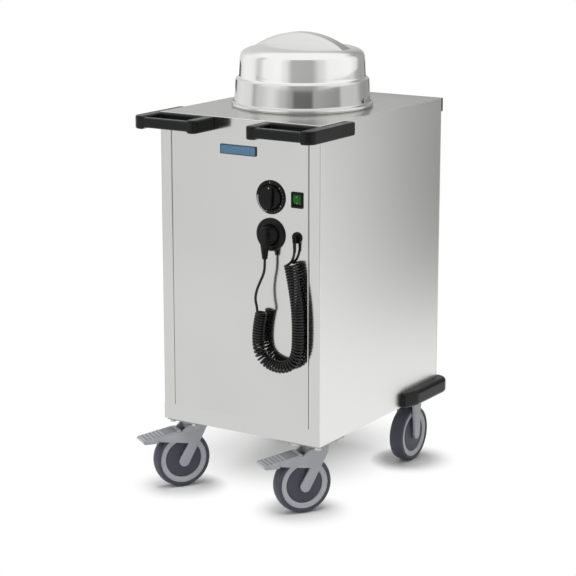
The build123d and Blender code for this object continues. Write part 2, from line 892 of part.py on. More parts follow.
# A wheel is made about its own centre, with its axle along Y.
wheel_half = wheel_width / 2
rim_half = rim_width / 2
hub_half = hub_width / 2
rim_bore = tread_radius - rim_wall
bore_radius = axle_radius + running_clearance


def spun(face):
    """A solid turned about Y from a plan of (radius, offset) points."""
    return revolve(face, Axis.Y)


def make_tyre():
    shoulder = wheel_radius - tread_crown
    far, near = (shoulder, wheel_half), (shoulder, -wheel_half)
    sides = Polyline(near, (tread_radius, -wheel_half), (tread_radius, wheel_half), far)
    crown = ThreePointArc(far, (wheel_radius, 0), near)
    return spun(rounded_at(make_face(sides + crown), [far, near], tread_shoulder))


def make_rim():
    """Hub, web and ring of a wheel."""
    web_half = web_thickness / 2
    half = [
        (bore_radius, hub_half),
        (hub_radius, hub_half),
        (hub_radius, web_half),
        (rim_bore, web_half),
        (rim_bore, rim_half),
        (tread_radius, rim_half),
    ]
    other = [(radius, -offset) for radius, offset in reversed(half)]
    return spun(make_face(Polyline(*half, *other, close=True)))


def make_guards():
    """The dished thread guards that cover both sides of the web."""
    outer = rim_bore - fit
    inner = hub_radius + 2 * fit
    seat = web_thickness / 2
    section = make_face(
        Polyline(
            (outer - guard_wall, seat),
            (outer, seat),
            (outer, rim_half),
            (inner, rim_half + guard_rise),
            (inner, rim_half + guard_rise - guard_wall),
            (outer - guard_wall, rim_half - guard_wall),
            close=True,
        )
    )
    guard = spun(section)
    return grouped([guard, mirror(guard, about=Plane.XZ)])


# ---------------------------------------------------------------- castors

# A front castor is made about its swivel axis, pointing along +X, with its wheel behind it.


def hull(*shapes):
    return make_hull([edge for shape in shapes for edge in shape.edges()])


def dot(point):
    """A point, as a shape that a hull can take."""
    return Pos(*point) * Circle(0.01)


def plates(profile, inside, outside):
    """A pair of plates either side of the wheel, from a side view about the wheel's centre."""
    plate = extrude(Plane.XZ.offset(inside) * profile, outside - inside)
    return plate + mirror(plate, about=Plane.XZ)


def cross_pin(point, radius, half):
    """A round bar along Y, centred on the wheel's plane."""
    return Pos(point[0], 0, point[1]) * Rot(90, 0, 0) * Cylinder(radius, 2 * half)


def axle_seats():
    return cross_pin((0, 0), bore_radius, fork_half + axle_seat)


def wing_outline():
    return hull(Pos(*pivot) * Circle(pivot_boss), dot(heel), dot(wing_root))


def make_front_fork():
    """Legs that lean back to the axle, wings that carry the pedal, and a round swivel head."""
    crown_floor = crown_low - wheel_radius
    crown_top = crown_floor + crown_rise
    leg = hull(Pos(*leg_end) * Circle(leg_width / 2), dot(heel), dot(chin))
    brow_points = [(brow, chin[1] + crown_rise / 2), (brow, crown_top)]
    shoulder = make_face(Polyline(heel, chin, *brow_points, (heel[0], crown_top), wing_root, close=True))
    fork = plates(leg + shoulder + wing_outline(), fork_half, fork_outer)
    fork += block((heel[0], brow), (-fork_outer, fork_outer), (crown_floor, crown_top))
    fork += pillar(castor_trail, 0, (crown_floor, crown_floor + head_height), head_radius)
    fork -= pillar(castor_trail, 0, (0, 2 * wheel_radius), kingpin_radius + running_clearance)
    fork -= axle_seats()
    fork -= cross_pin(pivot, pedal_pin_radius + running_clearance, fork_outer + 1)
    return fork


def make_pedal():
    """A ribbed foot pedal whose lid lies on the fork's wings, with lugs and pins inside them."""
    half = pedal_width / 2
    outline = make_face(Polyline(*pedal_top, *pedal_toe, pedal_inner_end, close=True))
    relief = offset(wing_outline(), pedal_play)
    pedal = extrude(Plane.XZ * (outline - relief), half, both=True)
    slope = (pedal_top[0][1] - pedal_top[1][1]) / (pedal_top[0][0] - pedal_top[1][0])
    for i in range(pedal_ribs):
        across = pedal_rib_start + i * pedal_rib_pitch
        height = pedal_top[0][1] + slope * (across - pedal_top[0][0])
        pedal += cross_pin((across, height - pedal_rib_radius / 4), pedal_rib_radius, half)
    lug_outer = fork_half - pedal_play
    lug_tops = [(pivot[0] + reach, pivot[1] + 2 * pivot_boss * 0.7) for reach in (-pivot_boss, 3 * pivot_boss)]
    lug = hull(Pos(*pivot) * Circle(pivot_boss + 1), *[dot(point) for point in lug_tops])
    pedal += plates(lug, lug_outer - pedal_lug, lug_outer)
    pedal += plates(Pos(*pivot) * Circle(pedal_pin_radius), lug_outer - 1, fork_outer + fit)
    return pedal


def make_rear_fork():
    """A rigid castor: mounting plate, neck, crown and two upright legs in one piece."""
    crown_floor = crown_low - wheel_radius
    neck_low = plate_low - rear_neck_height - wheel_radius
    under_plate = plate_low - wheel_radius
    half = rear_leg_width / 2
    leg = hull(Circle(leg_width / 2), dot((-half, crown_floor)), dot((half, crown_floor)))
    leg += Pos(0, (crown_floor + neck_low) / 2) * Rectangle(rear_leg_width, neck_low - crown_floor)
    fork = plates(leg, fork_half, fork_outer)
    fork += block((-half, half), (-fork_outer, fork_outer), (crown_floor, neck_low))
    fork += pillar(0, 0, (neck_low - sheet, under_plate), rear_neck_radius)
    fork -= axle_seats()
    return Rot(0, 0, 90) * fork + Pos(0, 0, -wheel_radius) * make_mounting_plate()


def make_mounting_plate():
    plan = RectangleRounded(plate_width, plate_length, plate_corner)
    plate = extrude(Pos(0, 0, plate_low) * plan, plate_thickness)
    for x, y in bolt_places(0, 0):
        plate -= pillar(x, y, (plate_low - 1, floor + 1), bolt_radius + bolt_clearance)
    return plate


def make_castor_plate():
    """A front castor's mounting plate with the housing of its swivel bearing."""
    plate = make_mounting_plate() + pillar(0, 0, (housing_low, plate_low), housing_radius)
    plate = fillet(plate.edges().filter_by(GeomType.CIRCLE).sort_by(Axis.Z)[0], fit * 3)
    return plate - pillar(0, 0, (housing_low - 1, floor - sheet), kingpin_radius)


def make_kingpin():
    head_high = crown_low - fit
    pin = pillar(0, 0, (head_high - kingpin_head_height, floor - sheet), kingpin_radius)
    return pin + pillar(0, 0, (head_high - kingpin_head_height, head_high), kingpin_head)


def hexagon(low, height):
    plan = RegularPolygon(bolt_across / 2, 6, major_radius=False)
    return extrude(Pos(0, 0, low) * plan, height)


def make_bolt():
    """A hexagon bolt up through the mounting plate and the pan."""
    bolt = hexagon(plate_low - bolt_head, bolt_head)
    return bolt + pillar(0, 0, (plate_low - 1, floor + sheet + nut_height), bolt_radius)


def make_nut():
    nut = hexagon(floor + sheet, nut_height)
    return nut - pillar(0, 0, (floor, floor + sheet + nut_height + 1), bolt_radius)


tyre, rim, guards = make_tyre(), make_rim(), make_guards()
axle = cross_pin((0, 0), axle_radius, fork_half + axle_seat - fit)
front_fork, pedal = make_front_fork(), make_pedal()
rear_fork = make_rear_fork()
castor_plate, kingpin = make_castor_plate(), make_kingpin()
kingpins, bolts, nuts = [], [], []
bolt, nut = make_bolt(), make_nut()

for x, y in castor_places:
    end = "front" if y < 0 else "rear"
    side = "left" if x < 0 else "right"
    if end == "front":
        wheel_place = Pos(x, y, 0) * Rot(0, 0, castor_turn) * Pos(-castor_trail, 0, wheel_radius)
        pieces[f"castor_plate_{side}"] = Pos(x, y, 0) * castor_plate
        pieces[f"fork_front_{side}"] = wheel_place * front_fork
        pieces[f"pedal_{side}"] = wheel_place * pedal
        kingpins.append(Pos(x, y, 0) * kingpin)
    else:
        wheel_place = Pos(x, y, wheel_radius) * Rot(0, 0, 90)
        pieces[f"fork_rear_{side}"] = Pos(x, y, wheel_radius) * rear_fork
    pieces[f"axle_{end}_{side}"] = wheel_place * axle
    pieces[f"rim_{end}_{side}"] = wheel_place * rim
    pieces[f"guards_{end}_{side}"] = wheel_place * guards
    pieces[f"tyre_{end}_{side}"] = wheel_place * tyre
    bolts += [Pos(*place, 0) * bolt for place in bolt_places(x, y)]
    nuts += [Pos(*place, 0) * nut for place in bolt_places(x, y)]

pieces["kingpins"] = grouped(kingpins)
pieces["castor_bolts"] = grouped(bolts)
pieces["castor_nuts"] = grouped(nuts)

# ---------------------------------------------------------------- write

os.makedirs("parts", exist_ok=True)
for name, shape in pieces.items():
    export_step(shape, f"parts/{name}.step")
print(len(pieces), "sub-parts")
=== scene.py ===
from math import atan2, copysign, cos, hypot, pi, radians, sin, sqrt, tan

import bmesh
import bpy
from mathutils import Matrix, Vector


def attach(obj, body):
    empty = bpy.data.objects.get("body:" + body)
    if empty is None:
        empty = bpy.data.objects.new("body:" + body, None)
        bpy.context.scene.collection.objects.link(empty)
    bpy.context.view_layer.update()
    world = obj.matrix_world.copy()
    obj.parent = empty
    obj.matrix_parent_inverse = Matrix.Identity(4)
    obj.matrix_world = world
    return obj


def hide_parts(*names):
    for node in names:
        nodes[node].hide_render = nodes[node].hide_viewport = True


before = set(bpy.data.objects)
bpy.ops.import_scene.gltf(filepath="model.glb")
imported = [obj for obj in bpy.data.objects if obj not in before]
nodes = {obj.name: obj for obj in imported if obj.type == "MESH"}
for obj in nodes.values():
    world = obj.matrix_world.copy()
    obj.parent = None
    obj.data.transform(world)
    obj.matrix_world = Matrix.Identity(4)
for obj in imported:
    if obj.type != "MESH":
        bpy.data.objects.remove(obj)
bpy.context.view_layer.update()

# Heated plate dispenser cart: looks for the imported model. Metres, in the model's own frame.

mm = 0.001
scene = bpy.context.scene

# ------------------------ sizes in millimetres, as in the part

front = -249.0
rear = 249.0
right = 195.0
floor = 155.0
top = 815.0
hood_y = -8.0
dial_x, dial_z = 78.5, 662.3
switch_x, socket_z = 141.0, 586.0
wheel_radius = 62.5
castor_turn = 57.0  # degrees
castor_trail = 33.0
castor_x = 154.0
castor_front_y, castor_rear_y = -194.5, 198.0
pedal_top = ((-8.0, 67.4), (-93.0, 52.6))

sides = ("left", "right")
wheels = [(end, side) for end in ("front", "rear") for side in sides]


def wheel_centre(end, side):
    """The point of the floor under a wheel, in millimetres. The front castors are turned."""
    x = castor_x if side == "right" else -castor_x
    if end == "rear":
        return x, castor_rear_y
    turn = radians(castor_turn)
    return x - castor_trail * cos(turn), castor_front_y - castor_trail * sin(turn)


# ------------------------ helpers


def linked(name, data):
    """A new object in the scene."""
    holder = bpy.data.objects.new(name, data)
    scene.collection.objects.link(holder)
    return holder


def evaluated_mesh(holder):
    """The object's mesh with its modifiers worked in. The object itself is removed."""
    mesh = bpy.data.meshes.new_from_object(holder.evaluated_get(bpy.context.evaluated_depsgraph_get()))
    bpy.data.objects.remove(holder)
    return mesh


def mesh_of(work, name, outwards=True):
    """The bmesh as a new mesh, as a rule with its faces turned outwards."""
    if outwards:
        bmesh.ops.recalc_face_normals(work, faces=work.faces)
    mesh = bpy.data.meshes.new(name)
    work.to_mesh(mesh)
    work.free()
    return mesh


def shift(x, y, z):
    """A move in millimetres."""
    return Matrix.Translation(Vector((x, y, z)) * mm)


def spin(degrees, axis):
    return Matrix.Rotation(radians(degrees), 4, axis)


def feed(node, inputs):
    """Each input, by name or number, takes a value, a socket or a node's first output in use."""
    for key, source in inputs.items():
        if isinstance(source, bpy.types.Node):
            source = next(output for output in source.outputs if output.enabled)
        if isinstance(source, bpy.types.NodeSocket):
            node.id_data.links.new(source, node.inputs[key])
        else:
            node.inputs[key].default_value = source


def add_node(tree, kind, inputs=None, **settings):
    node = tree.nodes.new(kind)
    for setting, value in settings.items():
        setattr(node, setting, value)
    feed(node, inputs or {})
    return node


def maths(tree, operation, *sources, kind="ShaderNodeMath"):
    return add_node(tree, kind, dict(enumerate(sources)), operation=operation)


def ranged(tree, source, start, end, low=0.0, high=1.0, kind="LINEAR"):
    """Runs from low to high as the source goes from start to end."""
    values = {"Value": source, "From Min": start, "From Max": end, "To Min": low, "To Max": high}
    return add_node(tree, "ShaderNodeMapRange", values, interpolation_type=kind)


def object_place(tree):
    return add_node(tree, "ShaderNodeTexCoord").outputs["Object"]


def object_parts(tree):
    """X, Y and Z of the Object coordinates."""
    return add_node(tree, "ShaderNodeSeparateXYZ", {0: object_place(tree)}).outputs


# ------------------------ camera, lights, floor

scene.view_settings.view_transform = "Standard"
white = (1.0, 1.0, 1.0, 1.0)


def set_camera():
    """The camera as solved from the cabinet's edges in the photograph."""
    yaw, pitch = radians(-32.757), radians(13.252)
    camera = linked("camera", bpy.data.cameras.new("camera"))
    camera.data.sensor_width = 36.0
    camera.data.lens = 118.7
    camera.location = (2.1383, -3.3876, 1.3589)
    ahead = Vector((sin(yaw) * cos(pitch), cos(yaw) * cos(pitch), -sin(pitch)))
    camera.rotation_euler = ahead.to_track_quat("-Z", "Y").to_euler()
    scene.camera = camera


def soft_lamp(name, place, target, size, power):
    lamp = bpy.data.lights.new(name, "AREA")
    lamp.shape = "RECTANGLE"
    lamp.size = lamp.size_y = size
    lamp.energy = power
    holder = linked(name, lamp)
    holder.location = place
    holder.rotation_euler = (Vector(target) - Vector(place)).to_track_quat("-Z", "Y").to_euler()
    return holder


def seen_directly(tree):
    """1 for what the camera, metal and glass see, 0 for the light that falls on matt surfaces."""
    rays = add_node(tree, "ShaderNodeLightPath").outputs
    both = maths(tree, "MAXIMUM", rays["Is Camera Ray"], rays["Is Glossy Ray"])
    return maths(tree, "MAXIMUM", both, rays["Is Transmission Ray"])


def set_studio():
    world = bpy.data.worlds.new("studio")
    world.use_nodes = True
    tree = world.node_tree
    tree.nodes.clear()
    strength = ranged(tree, seen_directly(tree), 0.0, 1.0, low=0.34)
    background = add_node(tree, "ShaderNodeBackground", {"Color": white, "Strength": strength})
    add_node(tree, "ShaderNodeOutputWorld", {"Surface": background})
    scene.world = world
    above = soft_lamp("lamp_above", place=(0.1, -0.4, 3.2), target=(0, 0, 0.3), size=3.0, power=66)
    above.visible_glossy = False
    soft_lamp("lamp_front", place=(-1.9, -3.2, 2.2), target=(0, 0, 0.4), size=2.2, power=24)


def stage_piece(name, points, faces, material):
    mesh = bpy.data.meshes.new(name)
    mesh.from_pydata(points, [], faces)
    mesh.materials.append(material)
    piece = linked(name, mesh)
    return piece


def set_floor():
    """A pale floor that keeps the shadow and runs out into the white of the backdrop."""
    half = 9.0
    patch_centre, patch_half, patch_fade = (-0.14, 0.14, 0.0), (0.05, 0.07, 0.0), 0.28
    wheel_fade = (0.045, 0.115)
    material = bpy.data.materials.new("pale_floor")
    material.use_nodes = True
    tree = material.node_tree
    shader = tree.nodes["Principled BSDF"]
    seen = seen_directly(tree)
    tint = ranged(tree, seen, 0.0, 1.0, 0.72, 1.12)
    feed(shader, {"Base Color": tint, "Roughness": 0.9, "Specular IOR Level": 0.0})

    def vectors(operation, *sources):
        return maths(tree, operation, *sources, kind="ShaderNodeVectorMath")

    place = object_place(tree)
    whole = vectors("ABSOLUTE", vectors("SUBTRACT", place, patch_centre))
    outside = vectors("MAXIMUM", vectors("SUBTRACT", whole, patch_half), (0.0, 0.0, 0.0))
    clear = ranged(tree, vectors("LENGTH", outside), 0.0, patch_fade, kind="SMOOTHSTEP")
    for wheel in wheels:
        x, y = wheel_centre(*wheel)
        away = vectors("DISTANCE", place, (x * mm, y * mm, 0.0))
        clear = maths(tree, "MINIMUM", clear, ranged(tree, away, *wheel_fade, kind="SMOOTHSTEP"))
    glow = add_node(tree, "ShaderNodeEmission")
    share = maths(tree, "MULTIPLY", clear, seen)
    both = add_node(tree, "ShaderNodeMixShader", {"Fac": share, 1: shader, 2: glow})
    feed(tree.nodes["Material Output"], {"Surface": both})
    corners = [(-half, -half, 0), (half, -half, 0), (half, half, 0), (-half, half, 0)]
    stage_piece("studio_floor", corners, [(0, 1, 2, 3)], material)


def make_cloth(name):
    """A material that only glows, with its tree and the node that glows."""
    material = bpy.data.materials.new(f"{name}_cloth")
    material.use_nodes = True
    tree = material.node_tree
    tree.nodes.clear()
    glow = add_node(tree, "ShaderNodeEmission")
    add_node(tree, "ShaderNodeOutputMaterial", {"Surface": glow})
    return material, tree, glow


def hang_card(name, points, faces, material):
    """A card that only reflections show."""
    card = stage_piece(name, points, faces, material)
    card.visible_camera = card.visible_diffuse = card.visible_transmission = False
    card.visible_shadow = card.visible_volume_scatter = False


def set_flags(name, centre_y, radius, levels, span, stops):
    """A curved card of pale and grey flags for bright metal to reflect, white high up."""
    count = 96
    fade = (2.4, 3.7)
    first, last = radians(span[0]), radians(span[1])
    angles = [first + (last - first) * i / count for i in range(count + 1)]
    ring = [(radius * cos(a), centre_y + radius * sin(a)) for a in angles]
    points = [(x, y, z) for z in levels for x, y in ring]
    faces = [(i, i + 1, count + i + 2, count + i + 1) for i in range(count)]
    material, tree, glow = make_cloth(name)
    x, y, z = object_parts(tree)
    bearing = maths(tree, "ARCTAN2", y, x)
    cloth = add_node(tree, "ShaderNodeValToRGB", {"Fac": ranged(tree, bearing, -pi, pi)})
    cloth.color_ramp.interpolation = "EASE"
    elements = cloth.color_ramp.elements
    for i, (degrees, grey) in enumerate(stops):
        stop = elements[i] if i < 2 else elements.new(1.0)
        stop.position = (degrees + 180) / 360
        stop.color = (grey, grey, grey, 1.0)
    rise = ranged(tree, z, *fade, kind="SMOOTHSTEP")
    paler = add_node(tree, "ShaderNodeMix", {"Factor": rise, "A": cloth, "B": white}, data_type="RGBA")
    feed(glow, {"Color": paler})
    hang_card(name, points, faces, material)


def set_side_flag():
    """A card beyond the right side that darkens upwards and towards the back."""
    x, near, far, low, high = 0.86, 0.7, 1.9, 0.0, 0.74
    back_fade, up_fade = (0.62, 1.5), (-0.4, 0.22)
    palest, darkest = 0.98, 0.03
    material, tree, glow = make_cloth("side_flag")
    _, y, z = object_parts(tree)
    shares = [ranged(tree, part, *fade, kind="SMOOTHSTEP") for part, fade in ((y, back_fade), (z, up_fade))]
    feed(glow, {"Strength": ranged(tree, maths(tree, "MULTIPLY", *shares), 0.0, 1.0, palest, darkest)})
    corners = [(x, near, low), (x, far, low), (x, far, high), (x, near, high)]
    hang_card("side_flag", corners, [(0, 1, 2, 3)], material)


# Bearing from the object in degrees, and how pale the flag is there. The wall stands round
# the whole set, the two others round the hood at the height of its lower wall.
wall_flags = [
    (-180, 0.95), (-158, 0.92), (-142, 0.64), (-127, 0.95), (-100, 1.0), (-88, 0.84),
    (-74, 0.46), (-42, 0.44), (-25, 0.74), (-8, 0.96), (35, 1.0), (52, 0.85),
    (68, 0.4), (95, 0.36), (122, 0.62), (150, 0.72), (172, 0.9), (180, 0.95),
]
skirt_flags = [
    (-140, 0.5), (-127, 0.72), (-105, 0.92), (-86, 0.6), (-76, 0.42), (-68, 0.18), (-46, 0.17),
    (-40, 0.45), (-3, 0.36), (5, 0.7), (33, 0.68), (49, 0.4), (67, 0.34),
]
outline_flags = [(85, 0.3), (98, 0.05), (152, 0.05), (165, 0.3)]

set_camera()
set_studio()
set_floor()
set_flags("wall_flags", 0.0, 2.6, levels=(-0.02, 4.2), span=(-180, 180), stops=wall_flags)
set_flags("skirt_flags", hood_y * mm, 0.6, levels=(0.8, 0.868), span=(-140, 67), stops=skirt_flags)
set_flags("outline_flags", hood_y * mm, 0.6, levels=(0.79, 0.853), span=(85, 165), stops=outline_flags)
set_side_flag()

# ------------------------ finishes


usual = (0.3, 0.7)  # nearly all of a noise pattern lies between these


class Finish:
    """A material whose patterns read Object coordinates."""

    def __init__(self, name, colour, roughness, metallic=0.0, **sockets):
        self.material = bpy.data.materials.new(name)
        self.material.use_nodes = True
        self.tree = self.material.node_tree
        self.shader = self.tree.nodes["Principled BSDF"]
        self.colour, self.roughness = colour, roughness
        sockets.update(Base_Color=(*colour, 1.0), Roughness=roughness, Metallic=metallic)
        feed(self.shader, {socket.replace("_", " "): value for socket, value in sockets.items()})

    def pattern(self, scale, stretch=(1.0, 1.0, 1.0), detail=3.0):
        """A noise pattern, scale per metre, stretched along each axis."""
        values = {"Vector": object_place(self.tree), "Scale": stretch}
        mapping = add_node(self.tree, "ShaderNodeMapping", values)
        values = {"Vector": mapping, "Scale": scale, "Detail": detail}
        return add_node(self.tree, "ShaderNodeTexNoise", values).outputs["Fac"]

    def bands(self, pitch, direction="Z"):
        """Even bands along one axis, pitch in millimetres."""
        period = 2 * pi / 20  # of a wave texture of scale 1
        values = {"Vector": object_place(self.tree), "Scale": period / (pitch * mm)}
        return add_node(self.tree, "ShaderNodeTexWave", values, bands_direction=direction).outputs["Fac"]

    def rough(self, source, change):
        """The roughness varies by this much either way."""
        low, high = self.roughness - change, self.roughness + change
        feed(self.shader, {"Roughness": ranged(self.tree, source, *usual, low, high)})
        return self

    def tone(self, source, darker, spread=usual):
        """The colour falls to this share of itself where the pattern is low."""
        dark = (*[c * darker for c in self.colour], 1.0)
        values = {"Factor": ranged(self.tree, source, *spread), "A": dark, "B": (*self.colour, 1.0)}
        feed(self.shader, {"Base Color": add_node(self.tree, "ShaderNodeMix", values, data_type="RGBA")})
        return self

    def bump(self, source, height, strength=1.0):
        """Raised by this height, in millimetres, where the pattern is high."""
        values = {"Height": source, "Distance": height * mm, "Strength": strength}
        feed(self.shader, {"Normal": add_node(self.tree, "ShaderNodeBump", values)})
        return self


evenly = (1.0, 1.0, 1.0)
upright = (1.0, 1.0, 0.012)
lengthwise = (1.0, 0.012, 1.0)
crosswise = (0.012, 1.0, 1.0)
softly_upright = (1.0, 1.0, 0.1)


def steel(name, grey, roughness, grain, change=0.03, darker=0.97, height=0.004):
    """Stainless steel with its grain along one axis and a faint cloudiness."""
    finish = Finish(name, (grey, grey * 1.004, grey * 0.975), roughness, metallic=1.0)
    lines = finish.pattern(900.0, grain, detail=2.0)
    clouds = finish.pattern(5.0, detail=2.0)
    return finish.rough(lines, change).tone(clouds, darker).bump(lines, height, 0.35).material


def moulded(name, colour, roughness, grain=900.0, height=0.03, darker=0.88, **sockets):
    """Moulded plastic: a fine spark-eroded grain and slight unevenness of tone."""
    finish = Finish(name, colour, roughness, **sockets)
    finish.bump(finish.pattern(grain, detail=2.0), height, 0.5)
    finish.tone(finish.pattern(38.0), darker)
    return finish.rough(finish.pattern(60.0), 0.05).material


def make_side_steel():
    """Brushed on the sides and as bright as the front panel on the folded front edges."""
    bright, brushed = 0.13, 0.34
    finish = Finish("brushed_side_steel", (0.82, 0.823, 0.8), brushed, metallic=1.0)
    finish.bump(finish.pattern(900.0, upright, detail=2.0), 0.004, 0.35)
    depth = object_parts(finish.tree)["Y"]
    edge = (front + 0.4) * mm
    spread = (edge, edge + 0.0012)
    feed(finish.shader, {"Roughness": ranged(finish.tree, depth, *spread, bright, brushed)})
    return finish.tone(depth, 0.75, spread).material


def make_hood_steel():
    """Polished. Below the hood's step the colour is painted darker: painted shade on the skirt."""
    finish = Finish("polished_hood_steel", (0.9, 0.9036, 0.8775), 0.07, metallic=1.0)
    lines = finish.pattern(900.0, softly_upright, detail=2.0)
    finish.rough(lines, 0.015).bump(lines, 0.0006, 0.35)
    step = (top + 57.0) * mm
    # Painted shade: below the step the colour falls to 0.82 of itself.
    return finish.tone(object_parts(finish.tree)["Z"], 0.82, (step, step + 0.003)).material


def make_lens():
    """Ribbed green plastic with a faint light behind it."""
    lit = {"Emission_Color": (0.012, 0.42, 0.014, 1.0), "Emission_Strength": 0.12}
    finish = Finish("green_lens", (0.003, 0.06, 0.003), 0.2, IOR=1.49, Specular_IOR_Level=0.25, **lit)
    finish.bump(finish.bands(1.6, "X"), 0.12, 0.5).tone(finish.pattern(160.0), 0.55)
    return finish.rough(finish.pattern(300.0), 0.05).material


def make_sheath():
    finish = Finish("heater_sheath", (0.2, 0.17, 0.15), 0.45, metallic=1.0)
    return finish.tone(finish.pattern(45.0), 0.6).rough(finish.pattern(120.0), 0.08).material


def make_spring_wire():
    finish = Finish("spring_wire", (0.5, 0.5, 0.49), 0.3, metallic=1.0)
    coils = finish.bands(1.5)
    # The bands also darken the colour in the grooves between the turns: painted shade.
    return finish.bump(coils, 0.5).tone(coils, 0.35, (0.0, 0.5)).rough(finish.pattern(90.0), 0.04).material


front_steel = steel("bright_front_steel", 0.615, 0.13, upright, 0.015)
plate_steel = steel("bright_top_steel", 0.54, 0.15, crosswise, 0.015, 0.98, 0.001)
grip_steel = steel("satin_grip_steel", 0.76, 0.16, softly_upright, 0.015, 0.98, 0.0006)
edge_steel = steel("bright_edge_steel", 0.86, 0.22, lengthwise, 0.02)
well_steel = steel("drawn_well_steel", 0.6, 0.22, upright)
rod_steel = steel("bright_rod_steel", 0.6, 0.16, upright)
zinc_steel = steel("zinc_plated_steel", 0.62, 0.3, evenly, 0.06, 0.9)
platform_steel = steel("ground_platform_steel", 0.58, 0.3, crosswise)
bearing_steel = steel("pressed_bearing_steel", 0.36, 0.38, evenly, 0.05, 0.85)
side_steel = make_side_steel()
hood_steel = make_hood_steel()

handle_black = moulded("handle_black", (0.006, 0.0065, 0.0075), 0.27, 1100.0, Specular_IOR_Level=0.24)
control_black = moulded("control_black", (0.006, 0.006, 0.007), 0.2, 1400.0, 0.008, Specular_IOR_Level=0.16)
plug_black = moulded("plug_black", (0.007, 0.007, 0.008), 0.34, 1000.0, 0.02, Specular_IOR_Level=0.2)
cord_black = moulded("cord_black", (0.004, 0.004, 0.0045), 0.26, 1500.0, 0.008, Specular_IOR_Level=0.4)
castor_grey = moulded("castor_grey", (0.6, 0.61, 0.65), 0.42, 800.0, 0.05, 0.94)
ring_grey = moulded("rim_grey", (0.66, 0.67, 0.71), 0.38, darker=0.94)
# Painted shade: a dark grey for the pedals' lids, standing for the shade that falls on them.
lid_painted_shade_grey = moulded("lid_painted_shade_grey", (0.27, 0.275, 0.285), 0.5, darker=0.9)
rib_grey = moulded("rib_grey", (0.5, 0.505, 0.52), 0.5, darker=0.9)
disc_grey = moulded("guard_grey", (0.072, 0.074, 0.104), 0.5, 700.0, 0.05)
tread_grey = moulded("tread_grey", (0.08, 0.08, 0.112), 0.55, 600.0, 0.06)
case_dark = moulded("case_dark", (0.05, 0.05, 0.055), 0.5)
badge_enamel = moulded("badge_enamel", (0.1, 0.25, 0.43), 0.28, 1200.0, 0.01, 0.94)
badge_edge = moulded("badge_edge", (0.03, 0.05, 0.09), 0.35, 1200.0, 0.01, 0.9)
print_white = moulded("printed_white", (0.7, 0.7, 0.7), 0.5, 900.0, 0.004, 0.9)
print_grey = moulded("printed_grey", (0.46, 0.46, 0.47), 0.5, 900.0, 0.004, 0.9)

lens_green = make_lens()
heater_sheath = make_sheath()
spring_wire = make_spring_wire()


def paint(material, *names):
    """Gives carried-over nodes a finish on their own material slots."""
    for name in names:
        for slot in nodes[name].material_slots:
            slot.link = "OBJECT"
            slot.material = material


paint(front_steel, "front_panel")
paint(side_steel, "side_panel_left", "side_panel_right", "rear_panel", "base_pan")
paint(plate_steel, "top_plate")
paint(well_steel, "well_tube", "heater_tray")
paint(rod_steel, "guide_rods", "kingpins", *[f"axle_{end}_{side}" for end, side in wheels])
paint(zinc_steel, "castor_bolts", "castor_nuts", "lift_carriage")
paint(platform_steel, "plate_platform")
paint(bearing_steel, "castor_plate_left", "castor_plate_right")
paint(castor_grey, *[f"fork_{end}_{side}" for end, side in wheels])
paint(castor_grey, "pedal_left", "pedal_right")
paint(control_black, "dial_ring", "thermostat_knob")
paint(case_dark, "thermostat")
paint(plug_black, "parking_socket", "plug", "cable_gland")
paint(heater_sheath, "heating_ring")
paint(spring_wire, "lift_springs")

# ------------------------ making


def make_tree(name, **inputs):
    """A Geometry Nodes tree with a geometry input and output and the given named inputs."""
    tree = bpy.data.node_groups.new(name, "GeometryNodeTree")
    tree.interface.new_socket("Geometry", in_out="INPUT", socket_type="NodeSocketGeometry")
    for label, kind in inputs.items():
        tree.interface.new_socket(label, in_out="INPUT", socket_type=f"NodeSocket{kind}")
    tree.interface.new_socket("Geometry", in_out="OUTPUT", socket_type="NodeSocketGeometry")
    return tree, add_node(tree, "NodeGroupInput").outputs


def finish_tree(tree, shape, finish):
    """The shape takes on its finish and leaves the tree."""
    coat = add_node(tree, "GeometryNodeSetMaterial", {"Geometry": shape, "Material": finish})
    add_node(tree, "NodeGroupOutput", {0: coat})
    return tree


def make_lathe():
    """Turns the input's vertices, in their order, about Z."""
    whole_numbers = "FunctionNodeIntegerMath"
    tree, given = make_tree("turned_on_a_lathe", Steps="Int", Weld="Float", Finish="Material")
    size = add_node(tree, "GeometryNodeAttributeDomainSize", {0: given["Geometry"]}, component="MESH")
    rows = maths(tree, "ADD", given["Steps"], 1, kind=whole_numbers)
    grid = add_node(tree, "GeometryNodeMeshGrid", {"Vertices X": size, "Vertices Y": rows})
    index = add_node(tree, "GeometryNodeInputIndex")
    across = maths(tree, "DIVIDE_FLOOR", index, rows, kind=whole_numbers)
    around = maths(tree, "MODULO", index, rows, kind=whole_numbers)
    place = add_node(tree, "GeometryNodeInputPosition")
    values = {"Geometry": given["Geometry"], "Value": place, "Index": across}
    point = add_node(tree, "GeometryNodeSampleIndex", values, data_type="FLOAT_VECTOR")
    angle = maths(tree, "MULTIPLY", around, maths(tree, "DIVIDE", 2 * pi, given["Steps"]))
    values = {"Vector": point, "Angle": angle}
    turn = add_node(tree, "ShaderNodeVectorRotate", values, rotation_type="Z_AXIS")
    form = add_node(tree, "GeometryNodeSetPosition", {"Geometry": grid, "Position": turn})
    weld = add_node(tree, "GeometryNodeMergeByDistance", {"Geometry": form, "Distance": given["Weld"]})
    return finish_tree(tree, weld, given["Finish"])


